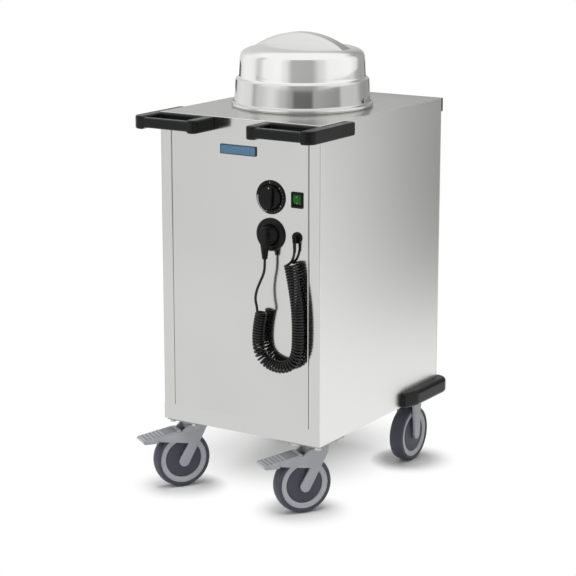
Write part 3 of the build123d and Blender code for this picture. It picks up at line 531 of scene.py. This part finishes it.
def make_repeater():
    """Copies of the input, each one step and one turn on from the last."""
    kinds = {"Count": "Int", "Step": "Vector", "Turn": "Vector", "Finish": "Material"}
    tree, given = make_tree("copies_in_a_row", **kinds)
    line = add_node(tree, "GeometryNodeMeshLine", {"Count": given["Count"], "Offset": (0.0, 0.0, 0.0)})
    index = add_node(tree, "GeometryNodeInputIndex")
    moved, turned = [
        add_node(tree, "ShaderNodeVectorMath", {0: given[label], "Scale": index}, operation="SCALE")
        for label in ("Step", "Turn")
    ]
    spread = add_node(tree, "GeometryNodeSetPosition", {"Geometry": line, "Position": moved})
    angles = add_node(tree, "FunctionNodeEulerToRotation", {0: turned})
    values = {"Points": spread, "Instance": given["Geometry"], "Rotation": angles}
    copies = add_node(tree, "GeometryNodeInstanceOnPoints", values)
    real = add_node(tree, "GeometryNodeRealizeInstances", {"Geometry": copies})
    return finish_tree(tree, real, given["Finish"])


lathe, repeater = make_lathe(), make_repeater()


def run_tree(mesh, tree, values):
    """The mesh after a Geometry Nodes tree has worked on it."""
    holder = linked("work", mesh)
    modifier = holder.modifiers.new("work", "NODES")
    modifier.node_group = tree
    for item in tree.interface.items_tree:
        if item.in_out == "INPUT" and item.name in values:
            modifier[item.identifier] = values[item.name]
    result = evaluated_mesh(holder)
    bpy.data.meshes.remove(mesh)
    return result


def recalculate(mesh):
    """Merges doubles and turns every face outwards."""
    work = bmesh.new()
    work.from_mesh(mesh)
    bmesh.ops.remove_doubles(work, verts=work.verts, dist=0.00001)
    bmesh.ops.recalc_face_normals(work, faces=work.faces)
    work.to_mesh(mesh)
    work.free()
    return mesh


def smooth(mesh, angle=35.0):
    mesh.shade_smooth()
    mesh.set_sharp_from_angle(angle=radians(angle))
    return mesh


def eased(points, closed=False, steps=6):
    """Rounds the corners of an outline of (across, up, radius) points."""
    result = []
    count = len(points)
    for i, (x, y, radius) in enumerate(points):
        if radius <= 0 or (not closed and i in (0, count - 1)):
            result.append((x, y))
            continue
        here = Vector((x, y))
        before = Vector(points[i - 1][:2]) - here
        after = Vector(points[(i + 1) % count][:2]) - here
        weight = sin(before.angle(after) / 2)
        cut = min(radius / tan(before.angle(after) / 2), before.length * 0.49, after.length * 0.49)
        start, end = here + before.normalized() * cut, here + after.normalized() * cut
        for k in range(steps + 1):
            t = k / steps
            a, b, c = (1 - t) ** 2, 2 * t * (1 - t) * weight, t**2
            spot = (start * a + here * b + end * c) / (a + b + c)
            result.append((spot.x, spot.y))
    if closed:
        result.append(result[0])
    return result


def divided(points, longest):
    """The same outline, with points added along its straight runs."""
    result = [points[0]]
    for start, end in zip(points, points[1:]):
        count = max(round(hypot(end[0] - start[0], end[1] - start[1]) / longest), 1)
        result += [tuple(a + (b - a) * i / count for a, b in zip(start, end)) for i in range(1, count + 1)]
    return result


def turned_piece(profile, material, place=None, steps=96):
    """A mesh turned about Z from (radius, height) points in millimetres, then placed."""
    mesh = bpy.data.meshes.new("profile")
    mesh.from_pydata([(r * mm, 0, z * mm) for r, z in profile], [], [])
    mesh = run_tree(mesh, lathe, {"Steps": steps, "Weld": 0.000004, "Finish": material})
    if place:
        mesh.transform(place)
    return smooth(recalculate(mesh))


def turned_ring(outline, material, place, steps=96):
    """A turned piece with a closed outline of (radius, height, corner radius) points."""
    return turned_piece(eased(outline, closed=True), material, place, steps)


def repeated(mesh, count, material, step=(0, 0, 0), turn=(0, 0, 0)):
    return run_tree(mesh, repeater, {"Count": count, "Step": step, "Turn": turn, "Finish": material})


def slab(outline, thickness, bevel=0.0, segments=3, material=None):
    """A plate with a closed (x, z) outline, from Y 0 to -thickness, its front edge rounded."""
    work = bmesh.new()
    face = work.faces.new([work.verts.new((x * mm, 0, z * mm)) for x, z in outline])
    made = bmesh.ops.extrude_face_region(work, geom=[face])
    moved = [g for g in made["geom"] if isinstance(g, bmesh.types.BMVert)]
    bmesh.ops.translate(work, verts=moved, vec=(0, -thickness * mm, 0))
    if bevel:
        rim = [e for e in work.edges if all(v.co.y < -thickness * mm * 0.999 for v in e.verts)]
        bmesh.ops.bevel(work, geom=rim, offset=bevel * mm, segments=segments, profile=0.5, affect="EDGES")
    mesh = mesh_of(work, "slab")
    if material:
        mesh.materials.append(material)
    return mesh


def rectangle(width, height, radius, steps=5):
    """A closed outline of a rounded rectangle about the origin."""
    x, z = width / 2, height / 2
    corners = [(-x, -z, radius), (x, -z, radius), (x, z, radius), (-x, z, radius)]
    return eased(corners, closed=True, steps=steps)[:-1]


def skin(rows, material):
    """A closed mesh over rings of points in millimetres, with flat ends."""
    work = bmesh.new()
    rings = [[work.verts.new(Vector(point) * mm) for point in row] for row in rows]
    for one, other in zip(rings, rings[1:]):
        for k in range(len(one)):
            after = (k + 1) % len(one)
            work.faces.new((one[k], one[after], other[after], other[k]))
    work.faces.new(rings[0])
    work.faces.new(rings[-1])
    mesh = mesh_of(work, "skin")
    mesh.materials.append(material)
    return smooth(mesh, 50)


def join(meshes):
    """Several meshes as one, materials kept."""
    work = bmesh.new()
    materials = []
    for mesh in meshes:
        start = len(work.faces)
        for material in mesh.materials:
            if material not in materials:
                materials.append(material)
        work.from_mesh(mesh)
        work.faces.ensure_lookup_table()
        for face in work.faces[start:]:
            face.material_index = materials.index(mesh.materials[face.material_index])
    result = mesh_of(work, "joined", outwards=False)
    for material in materials:
        result.materials.append(material)
    return smooth(result)


def add_piece(name, mesh, body, slot, *stands_for, material=None):
    """Puts a finished mesh into the scene, riding on a body, in place of the nodes it stands for."""
    mesh.name = name
    if material:
        mesh.materials.clear()
        mesh.materials.append(material)
    piece = linked(name, mesh)
    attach(piece, body)
    if stands_for:
        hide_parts(*stands_for)
    return piece


def welded_copy(node):
    """A bmesh of a CAD node with its vertices merged."""
    work = bmesh.new()
    work.from_mesh(nodes[node].data)
    bmesh.ops.remove_doubles(work, verts=work.verts, dist=0.00002)
    return work


def softened(node, body, slot, material, width, segments=2):
    """A copy of a CAD node with its edges rounded, in the node's place."""
    work = welded_copy(node)
    bmesh.ops.dissolve_limit(work, angle_limit=radians(1.0), verts=work.verts, edges=work.edges)
    mesh = mesh_of(work, f"{node}_soft", outwards=False)
    mesh.shade_smooth()
    piece = add_piece(f"{node}_soft", mesh, body, slot, node, material=material)
    bevel = piece.modifiers.new("rounded_edges", "BEVEL")
    bevel.width = width * mm
    bevel.segments = segments
    bevel.limit_method = "ANGLE"
    bevel.angle_limit = radians(38)
    bevel.harden_normals = True


def worn_round(node, body, slot, material, grid, rounds):
    """A copy of a CAD node with every edge rubbed round, as a moulding's are."""
    mesh = mesh_of(welded_copy(node), "work", outwards=False)
    holder = linked("work", mesh)
    fine = holder.modifiers.new("grid", "REMESH")
    fine.mode = "VOXEL"
    fine.voxel_size = grid * mm
    rub = holder.modifiers.new("rub", "SMOOTH")
    rub.factor, rub.iterations = 0.5, rounds
    result = evaluated_mesh(holder)
    bpy.data.meshes.remove(mesh)
    result.shade_smooth()
    add_piece(f"{node}_worn", result, body, slot, node, material=material)


def before_front(across, depth, height):
    """Metres, from millimetres across, out from the front panel and up."""
    return Vector((across, front - depth, height)) * mm


def on_front(across, depth, height):
    return Matrix.Translation(before_front(across, depth, height))


def facing(x, z):
    """Turns a piece made about Z so that it faces the front at a place on the panel."""
    return on_front(x, 0, z) @ spin(90, "X")


# ------------------------ cord

cord_radius = 2.5
cord_swell = 1.08  # the drawn cord's radius, as a share of the real one
curl_radius = 10.0
curl_pitch = 5.64
curl_gap = 0.3
curl_depth = 18.4
curl_turns = 62 + 40 / 360
curl_points = 12  # to each turn
curl_reach = 0.966  # the curls' radius, as a share of their control points'
curl_exit = 12.5
lead_depth, gland_drop = 10.0, 9.0
plug_depth, plug_drop = 23.5, 47.0

# Routes from the gland's axis: across, in front of the panel, and down.
curl_route = [
    (-5.7, curl_depth, 53.7),
    (9.0, curl_depth, 116.0),
    (14.5, curl_depth, 186.0),
    (11.0, curl_depth, 251.0),
    (-29.0, curl_depth, 274.0),
    (-79.0, curl_depth, 256.0),
    (-85.0, curl_depth, 201.0),
    (-74.4, curl_depth, 160.6),
]
gland_lead_route = [
    (0.0, lead_depth, gland_drop),
    (0.0, lead_depth, 24.0),
    (-2.5, 9.0, 37.5),
    (-7.8, 8.0, 48.2),
]

# From the plug's axis, in the same way.
plug_lead_route = [
    (-12.5, 34.0, 145.0),
    (-15.3, 36.0, 130.0),
    (-13.9, 34.0, 113.0),
    (-8.1, 29.0, 94.0),
    (-2.0, 25.0, 78.0),
    (0.0, plug_depth, 64.0),
    (0.0, plug_depth, plug_drop),
]


def hung(route, axis_x):
    """A route's points on the front, measured from an axis at the socket's height."""
    return [before_front(axis_x + across, depth, socket_z - drop) for across, depth, drop in route]


def make_line(name, kind, points):
    """A curve with one spline over the points, in metres."""
    curve = bpy.data.curves.new(name, "CURVE")
    curve.dimensions = "3D"
    spline = curve.splines.new(kind)
    spline.points.add(len(points) - 1)
    for knot, point in zip(spline.points, points):
        knot.co = (*point, 1.0)
    return linked(name, curve)


def smooth_line(name, points, resolution):
    """A NURBS line with the points as its control points."""
    line = make_line(name, "NURBS", points)
    spline = line.data.splines[0]
    spline.order_u = 3
    spline.use_endpoint_u = True
    spline.resolution_u = line.data.resolution_u = resolution
    return line


def make_curls():
    """Control points of the curls, wound round the hanging loop, and the ways in and out."""
    axis = evaluated_mesh(smooth_line("curl_axis", hung(curl_route, switch_x), 64))
    places = [vertex.co.copy() for vertex in axis.vertices]
    bpy.data.meshes.remove(axis)
    ways = [(b - a).normalized() for a, b in zip(places, places[1:])]
    ways.append(ways[-1])
    wound = [0.0]
    for a, b, here, there in zip(places, places[1:], ways, ways[1:]):
        step = (b - a).length
        bend_rate = here.angle(there, 0.0) / step * mm
        pitch = max(curl_pitch, (2 * cord_radius + curl_gap) / (1 - curl_radius * bend_rate)) * mm
        wound.append(wound[-1] + step / pitch)
    wound = [turns * curl_turns / wound[-1] for turns in wound]
    count = round(curl_turns * curl_points)
    curls = []
    index = 0
    for i in range(count + 1):
        turns = curl_turns * i / count
        while index < len(wound) - 2 and wound[index + 1] < turns:
            index += 1
        share = (turns - wound[index]) / (wound[index + 1] - wound[index])
        middle = places[index].lerp(places[index + 1], share)
        way = ways[index].lerp(ways[index + 1], share).normalized()
        across = Vector((way.z, 0, -way.x))
        angle = 2 * pi * turns
        outward = across * cos(angle) + Vector((0, -1, 0)) * sin(angle)
        radius = curl_radius / curl_reach if 0 < i < count else curl_radius
        curls.append(middle + outward * radius * mm)
    way_in = ((curls[1] - curls[0]).normalized() + Vector((0, -1, 0))).normalized()
    way_out = (curls[-1] - curls[-2]).normalized()
    return curls, way_in, way_out


def make_cord():
    curls, way_in, way_out = make_curls()
    points = hung(gland_lead_route, switch_x)
    points.append(curls[0] - way_in * curl_exit * mm)
    points += curls
    points.append(curls[-1] + way_out * curl_exit * mm)
    points += hung(plug_lead_route, dial_x)
    cord = smooth_line("cord", points, 3)
    cord.data.bevel_depth = cord_swell * cord_radius * mm
    cord.data.bevel_resolution = 3
    cord.data.use_fill_caps = True
    cord.data.materials.append(cord_black)
    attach(cord, "cart")
    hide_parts("curly_cord", "gland_lead", "plug_lead")


# ------------------------ plug and its socket


def ribbed(first, last, count, radius, taper, depth, drops, pitch=4.0):
    """A tapered outline from first to last. Of the four drops, two end each rib and two its groove."""
    points = list(first)
    level = first[-1][1]
    for i in range(count):
        r = radius - taper * i
        points += [(r - cut, level - drop) for cut, drop in zip((0, 0, depth, depth), drops)]
        level -= pitch
    return points + last


def make_plug():
    """The right-angle plug: its round base, the tapered grip and the ribbed strain relief."""
    # How far in front of the panel, width, height, and a power: 2 is round, more is squarer.
    sections = (
        (-2.0, 40.8, 40.8, 2.0), (6.0, 40.8, 40.8, 2.0), (8.0, 40.0, 40.0, 2.0),
        (13.0, 30.0, 38.8, 2.2), (19.0, 21.0, 37.4, 2.7), (27.0, 17.8, 36.0, 3.6),
        (30.8, 16.8, 35.0, 4.4), (32.0, 15.4, 33.6, 4.4), (32.5, 12.4, 30.4, 3.8),
    )
    count = 48
    turns = [2 * pi * i / count for i in range(count)]
    rows = []
    for depth, width, height, power in sections:
        across = [copysign(abs(cos(a)) ** (2 / power) * width / 2, cos(a)) for a in turns]
        up = [copysign(abs(sin(a)) ** (2 / power) * height / 2, sin(a)) for a in turns]
        rows.append([(x, -depth, z) for x, z in zip(across, up)])
    grip = skin(rows, plug_black)
    grip.transform(on_front(dial_x, 0, socket_z))
    neck = [(0.0, 6.0), (7.0, 6.0), (9.2, 0.0), (9.2, -12.0), (8.8, -22.0)]
    end = [(5.4, -46.0), (5.2, -46.6), (4.4, -plug_drop), (0.0, -plug_drop)]
    neck = ribbed(neck, end, 6, radius=8.6, taper=0.52, depth=0.8, drops=(0.6, 2.0, 2.4, 3.4))
    relief = turned_piece(neck, plug_black, on_front(dial_x, plug_depth, socket_z), 48)
    return add_piece("plug_body", join([grip, relief]), "cart", "black_plastic", "plug")


def make_socket():
    outline = [
        (0, -2.0, 0), (21.0, -2.0, 0.4), (21.0, 5.0, 1.0), (24.5, 5.6, 0.8),
        (25.5, 4.6, 0.5), (31.0, 4.6, 0.8), (34.0, 3.0, 1.6), (34.0, 0.0, 0),
        (22.5, 0.0, 0), (22.5, -24.0, 0.5), (0, -24.0, 0),
    ]
    mesh = turned_piece(eased(outline), plug_black, facing(dial_x, socket_z))
    add_piece("socket_flange", mesh, "cart", "black_plastic", "parking_socket")


def make_gland():
    """The gland's cap, its nose and the tapered relief round the cord."""
    place, nose_place = facing(switch_x, socket_z), on_front(switch_x, lead_depth, socket_z)
    cap = [
        (0, -12, 0), (4.5, -12, 0), (4.5, 0, 0), (11.75, 0, 0), (11.75, 2.0, 1.2), (9.0, 4.0, 2.0),
        (6.5, 4.0, 0.8), (0, 4.0, 0),
    ]
    nose = [(0, 4.5, 0), (2.9, 4.3, 1.8), (4.5, 1.8, 2.6), (4.5, -7.5, 1.0), (4.0, -9.0, 0.6), (0, -9.0, 0)]
    arm = [(0, 0, 0), (4.4, 0, 0), (4.4, 9.0, 1.0), (0, 9.0, 0)]
    parts = ((cap, place, 64), (nose, nose_place, 48), (arm, place, 48))
    meshes = [turned_piece(eased(outline), control_black, where, steps) for outline, where, steps in parts]
    add_piece("gland_cap", join(meshes), "cart", "black_plastic", "cable_gland")
    start, end = [(0, 1.0), (3.8, 1.0), (3.8, -3.0)], [(2.7, -20.0), (0, -20.0)]
    profile = ribbed(start, end, 4, radius=3.7, taper=0.2, depth=0.4, drops=(0.4, 2.4, 2.8, 3.8))
    mouth = on_front(switch_x, lead_depth, socket_z - gland_drop)
    add_piece("gland_relief", turned_piece(profile, cord_black, mouth, 32), "cart", "black_plastic")


plug = make_plug()
make_socket()
make_gland()
make_cord()

# ------------------------ dial and switch

print_depth = 2.9

# Marks round the dial: first angle and step clockwise from the top, count, radii, width.
mark_rows = [
    (-2.0, 0.0, 1, 28.0, 32.0, 0.9),
    (48.0, 75.0, 4, 28.0, 32.0, 0.9),
    (60.0, 12.5, 17, 30.0, 31.6, 0.45),
]


def make_dial():
    outline = [
        (4.0, -0.2, 0), (25.6, -0.2, 0), (25.6, 1.6, 0.4), (26.6, 2.4, 0.4),
        (32.6, 3.0, 0.8), (34.8, 1.8, 1.0), (34.8, 0.0, 0), (4.0, 0.0, 0),
    ]
    ring = turned_ring(outline, control_black, facing(dial_x, dial_z))
    add_piece("dial_plate", ring, "cart", "black_plastic", "dial_ring")
    marks = join([make_marks(*row) for row in mark_rows] + [make_heat_band()])
    add_piece("dial_marks", marks, "cart", "black_plastic")


def make_marks(first, step, count, inner, outer, width):
    x = width / 2
    mark = slab([(-x, inner), (x, inner), (x, outer), (-x, outer)], 0.2)
    mark.transform(spin(first, "Y"))
    marks = repeated(mark, count, print_white, turn=(0, radians(step), 0))
    marks.transform(on_front(dial_x, print_depth, dial_z))
    return marks


def make_heat_band():
    """The printed band that widens towards the hottest mark."""
    steps = 36
    start, sweep = 199, 72
    outer_radius, inner_radius, growth = 33.0, 31.2, 2.2
    outer, inner = [], []
    for i in range(steps + 1):
        a = radians(start + sweep * i / steps)
        within = inner_radius - growth * i / steps
        outer.append((outer_radius * sin(a), outer_radius * cos(a)))
        inner.append((within * sin(a), within * cos(a)))
    band = slab(outer + inner[::-1], 0.15, material=print_grey)
    band.transform(on_front(dial_x, print_depth, dial_z))
    return band


def make_knob():
    """Skirt, grip bar and pointer dot, turned a little clockwise."""
    outline = [
        (3.0, -6.0, 0), (3.0, 0, 0), (25.0, 0, 0), (25.0, 2.2, 0.8),
        (23.4, 5.0, 1.6), (10.0, 5.6, 0), (0, 5.6, 0),
    ]
    skirt = turned_piece(eased(outline), control_black, spin(90, "X"))
    back, depth, fall, half = 2.5, 11.0, 5.0, 23.0
    bar = slab(rectangle(21.0, 2 * half, 9.4, 8), depth, 1.4, 4, control_black)
    for vertex in bar.vertices:
        share = -vertex.co.y / (depth * mm)
        arch = fall * (vertex.co.z / (half * mm)) ** 2
        vertex.co.y *= (depth - arch) / depth
        vertex.co.x *= 1 - 0.1 * share
        vertex.co.z *= 1 - 0.03 * share
    bar.transform(shift(0, -back, 0))
    knob = join([skirt, smooth(bar, 40)])
    outline = [(0, -0.6), (1.4, -0.6), (1.4, 0.1), (1.0, 0.3), (0, 0.3)]
    dot = turned_piece(outline, print_white, spin(90, "X"), 24)
    high = 20.0
    dot.transform(shift(0, -(back + depth - fall * (high / half) ** 2), high))
    place = on_front(dial_x, 2.3, dial_z) @ spin(5, "Y")
    knob.transform(place)
    dot.transform(place)
    add_piece("knob_grip", knob, "knob", "black_plastic", "thermostat_knob")
    add_piece("knob_dot", dot, "knob", "black_plastic")


def make_switch():
    """The switch's frame and its lit rocker, with a light dot near each end."""
    worn_round("switch_frame", "cart", "black_plastic", control_black, grid=0.45, rounds=10)
    softened("switch_rocker", "rocker", "green_lens", lens_green, width=0.6, segments=3)
    outline = [(0, -0.4, 0), (1.0, -0.4, 0), (1.0, 0.25, 0.2), (0, 0.3, 0)]
    apart, lean = 13.0, 7
    dot = turned_piece(eased(outline), print_white, None, 20)
    dots = repeated(dot, 2, print_white, step=(0, -apart * mm, 0))
    dots.transform(on_front(switch_x, 2.55, dial_z) @ spin(90 + lean, "X") @ shift(0, apart / 2, 0))
    add_piece("rocker_dots", smooth(dots), "rocker", "green_lens")


make_dial()
make_knob()
make_switch()

# ------------------------ hood

roof_radius, roof_foot, roof_rise = 131.6, 92.0, 35.5


def roof_height(radius):
    """Height of the hood's gently domed roof, which rounds over into the wall."""
    return roof_foot + roof_rise * max(1 - (radius / roof_radius) ** 4, 0.0) ** 0.25


def make_hood():
    """The spun hood with its rolled foot, and the grip pressed up across its roof."""
    sheet = 1.0
    steps = 40
    roof_angles = [radians(90 * i / steps) for i in range(steps - 1)]  # the foot goes on from there
    reaches = [roof_radius * sin(a) ** 0.5 for a in roof_angles]
    outer = [(r, roof_height(r)) for r in reaches]
    inner = [(r - sheet * sin(a), z - sheet * cos(a)) for (r, z), a in zip(outer, roof_angles)]
    foot = [
        (131.9, 90.0, 0), (133.5, 61.5, 4.0), (140.6, 58.0, 3.0), (144.0, 9.5, 5.0),
        (149.0, 8.0, 2.2), (150.0, 4.0, 2.0), (149.0, 0.0, 1.6), (144.2, 0.0, 0.8),
        (143.0, 6.0, 2.0), (139.6, 57.2, 2.2), (132.5, 60.4, 3.0), (130.9, 90.0, 0),
    ]
    profile = divided(outer + eased(foot, steps=10) + inner[::-1], longest=3.0)
    place = shift(0, hood_y, top)
    shell = turned_piece(profile, hood_steel, place, 192)
    grip = make_hood_grip()
    grip.transform(place)
    add_piece("hood_shell", join([shell, grip]), "hood", "polished_steel", "hood")


def make_hood_grip():
    """A bar across the roof, arched along its length and rounded along its top edges."""
    crest, rise, half_span, half_width, edge = 154.0, 31.5, 108.0, 17.0, 5.0
    arc_radius = (half_span**2 + rise**2) / (2 * rise)
    stations = 96
    rows = []
    for i in range(stations + 1):
        across = half_span * sin(pi / 2 * (2 * i / stations - 1)) * 0.999
        high = crest - arc_radius + sqrt(arc_radius**2 - across**2)
        low = roof_height(hypot(across, half_width + 1.0)) - 0.5
        reach = min(edge, (high - low) * 0.6)
        section = [(-half_width - (high - low) * 0.06, low)]
        for k in range(7):
            a = pi / 2 * k / 6
            section.append((-half_width + reach * (1 - cos(a)), high - reach * (1 - sin(a))))
        section += [(-half_width + reach + (half_width - reach) * k / 4, high) for k in range(1, 5)]
        section += [(-y, z) for y, z in reversed(section[:-1])]
        rows.append([(across, y, z) for y, z in section])
    return skin(rows, grip_steel)


make_hood()

# ------------------------ badge, rivets


def make_badge():
    plate = slab(rectangle(87.0, 20.0, 1.6), 3.2, 0.5, 3, badge_edge)
    face = slab(rectangle(83.5, 16.5, 1.0), 0.3, 0.12, 2, badge_enamel)
    face.transform(shift(0, -3.1, 0))
    badge = join([plate, face])
    badge.transform(on_front(0, 0, 751.0))
    add_piece("blank_badge", badge, "cart", "black_plastic")


def make_rivets():
    """Two rows of rivets down the rear panel."""
    outline = [(0, 0), (3.2, 0), (3.1, 0.5), (2.4, 1.1), (1.2, 1.4), (0, 1.5)]
    column_x, lowest, apart = 184.0, floor + 50.0, 80.0
    rivets = []
    for x in (-column_x, column_x):
        head = turned_piece(outline, zinc_steel, spin(-90, "X"), 20)
        head.transform(shift(x, rear, lowest))
        rivets.append(repeated(head, 8, zinc_steel, step=(0, 0, apart * mm)))
    add_piece("rear_rivets", join(rivets), "cart", "zinc_steel")


def make_top_edge():
    """The rounded edge of the top plate along its front and sides."""
    radius, back, proud = 1.0, 251.0, 0.3
    x, y, z = right - radius + proud, front + radius - proud, top - radius + proud
    corners = [(-x, back, z), (-x, y, z), (x, y, z), (x, back, z)]
    line = make_line("top_edge", "POLY", [Vector(corner) * mm for corner in corners])
    line.data.bevel_depth = radius * mm
    line.data.bevel_resolution = 3
    line.data.use_fill_caps = True
    mesh = recalculate(evaluated_mesh(line))
    add_piece("top_edge", smooth(mesh, 50), "cart", "satin_steel", material=edge_steel)


make_badge()
make_rivets()
make_top_edge()

# ------------------------ castors


def fork_place(side):
    """A front wheel's centre, with Y along its axle."""
    return shift(*wheel_centre("front", side), wheel_radius) @ spin(castor_turn, "Z")


def wheel_place(end, side):
    if end == "rear":
        return shift(*wheel_centre(end, side), wheel_radius) @ spin(90, "Y")
    return fork_place(side) @ spin(-90, "X")


def both_faces(points):
    """A closed outline from its half above the middle plane."""
    return points + [(r, -z, ease) for r, z, ease in reversed(points)]


def make_wheels():
    tread = [
        (62.5, 0.1, 0), (61.9, 6.0, 0), (60.6, 11.5, 0), (59.0, 15.2, 1.5),
        (56.5, 16.0, 1.0), (53.4, 16.0, 0.6), (52.45, 14.4, 0.5),
    ]
    ring = [(52.4, 14.1, 0.6), (50.8, 14.5, 0.8), (43.5, 13.4, 0.6), (40.6, 12.9, 0.5), (40.0, 6.0, 0)]
    hub = [(13.0, 6.0, 0), (13.0, 13.2, 0.8), (9.0, 13.4, 0.4), (9.0, 16.9, 0.8), (6.1, 16.9, 0)]
    guard = [
        (39.7, 6.0, 0), (39.7, 12.6, 0.5), (37.5, 13.2, 0.6), (35.5, 13.0, 0.5),
        (9.6, 15.4, 0.4), (9.6, 13.9, 0), (37.8, 11.8, 0), (38.2, 6.0, 0),
    ]
    far_guard = [(r, -z, ease) for r, z, ease in guard]
    for end, side in wheels:
        body, place = f"wheel_{end}_{side}", wheel_place(end, side)
        mesh = turned_ring(both_faces(tread), tread_grey, place, 128)
        add_piece(f"tread_{end}_{side}", mesh, body, "tread", f"tyre_{end}_{side}")
        mesh = turned_ring(both_faces(ring + hub), ring_grey, place)
        add_piece(f"wheel_centre_{end}_{side}", mesh, body, "grey_plastic", f"rim_{end}_{side}")
        mesh = join([turned_ring(outline, disc_grey, place) for outline in (guard, far_guard)])
        add_piece(f"thread_guards_{end}_{side}", mesh, body, "dark_plastic", f"guards_{end}_{side}")


def make_pedal_lid_and_shade(side):
    """A thin lid with ribs on a brake pedal's top. The lid's dark grey is painted shade: the shade under
    the cabinet and between the ribs.
    """
    (high_x, high_z), (low_x, low_z) = pedal_top
    slope = (high_z - low_z) / (high_x - low_x)
    width, rib_width, rib_step, inset = 40.0, 39.0, 8.5, 4.0
    outline = [(-2.0, -1.5, 0), (-1.7, 1.6, 0.9), (1.7, 1.6, 0.9), (2.0, -1.5, 0)]
    rib = slab(eased(outline, closed=True, steps=3)[:-1], rib_width, 0.6, 2)
    outline = [(-3.5, -1.5, 0), (-3.5, 0.5, 0.4), (74.0, 0.5, 0.4), (74.0, -1.5, 0)]
    # The lid's dark grey is painted shade between the ribs.
    lid = slab(eased(outline, closed=True)[:-1], width, 0.4, 2, lid_painted_shade_grey)
    rib.transform(shift(0, rib_width / 2, 0))
    lid.transform(shift(0, width / 2, 0))
    ribs = repeated(rib, 6, rib_grey, step=(rib_step * mm, 0, 0))
    tread = join([lid, smooth(ribs, 40)])
    start = shift(low_x + inset, 0, low_z + inset * slope)
    tread.transform(fork_place(side) @ start @ Matrix.Rotation(-atan2(slope, 1.0), 4, "Y"))
    add_piece(f"pedal_lid_and_shade_{side}", tread, f"pedal_{side}", "grey_plastic")


def make_forks():
    for side in sides:
        softened(f"fork_front_{side}", f"fork_{side}", "grey_plastic", castor_grey, width=1.0)
        softened(f"pedal_{side}", f"pedal_{side}", "grey_plastic", castor_grey, width=0.5)
        softened(f"fork_rear_{side}", "cart", "grey_plastic", castor_grey, width=0.9)
        make_pedal_lid_and_shade(side)


def make_mouldings():
    for side in sides:
        worn_round(f"handle_{side}", "cart", "black_plastic", handle_black, grid=1.3, rounds=10)
        worn_round(f"bumper_{side}", "cart", "black_plastic", handle_black, grid=1.5, rounds=8)


make_wheels()
make_forks()
make_mouldings()
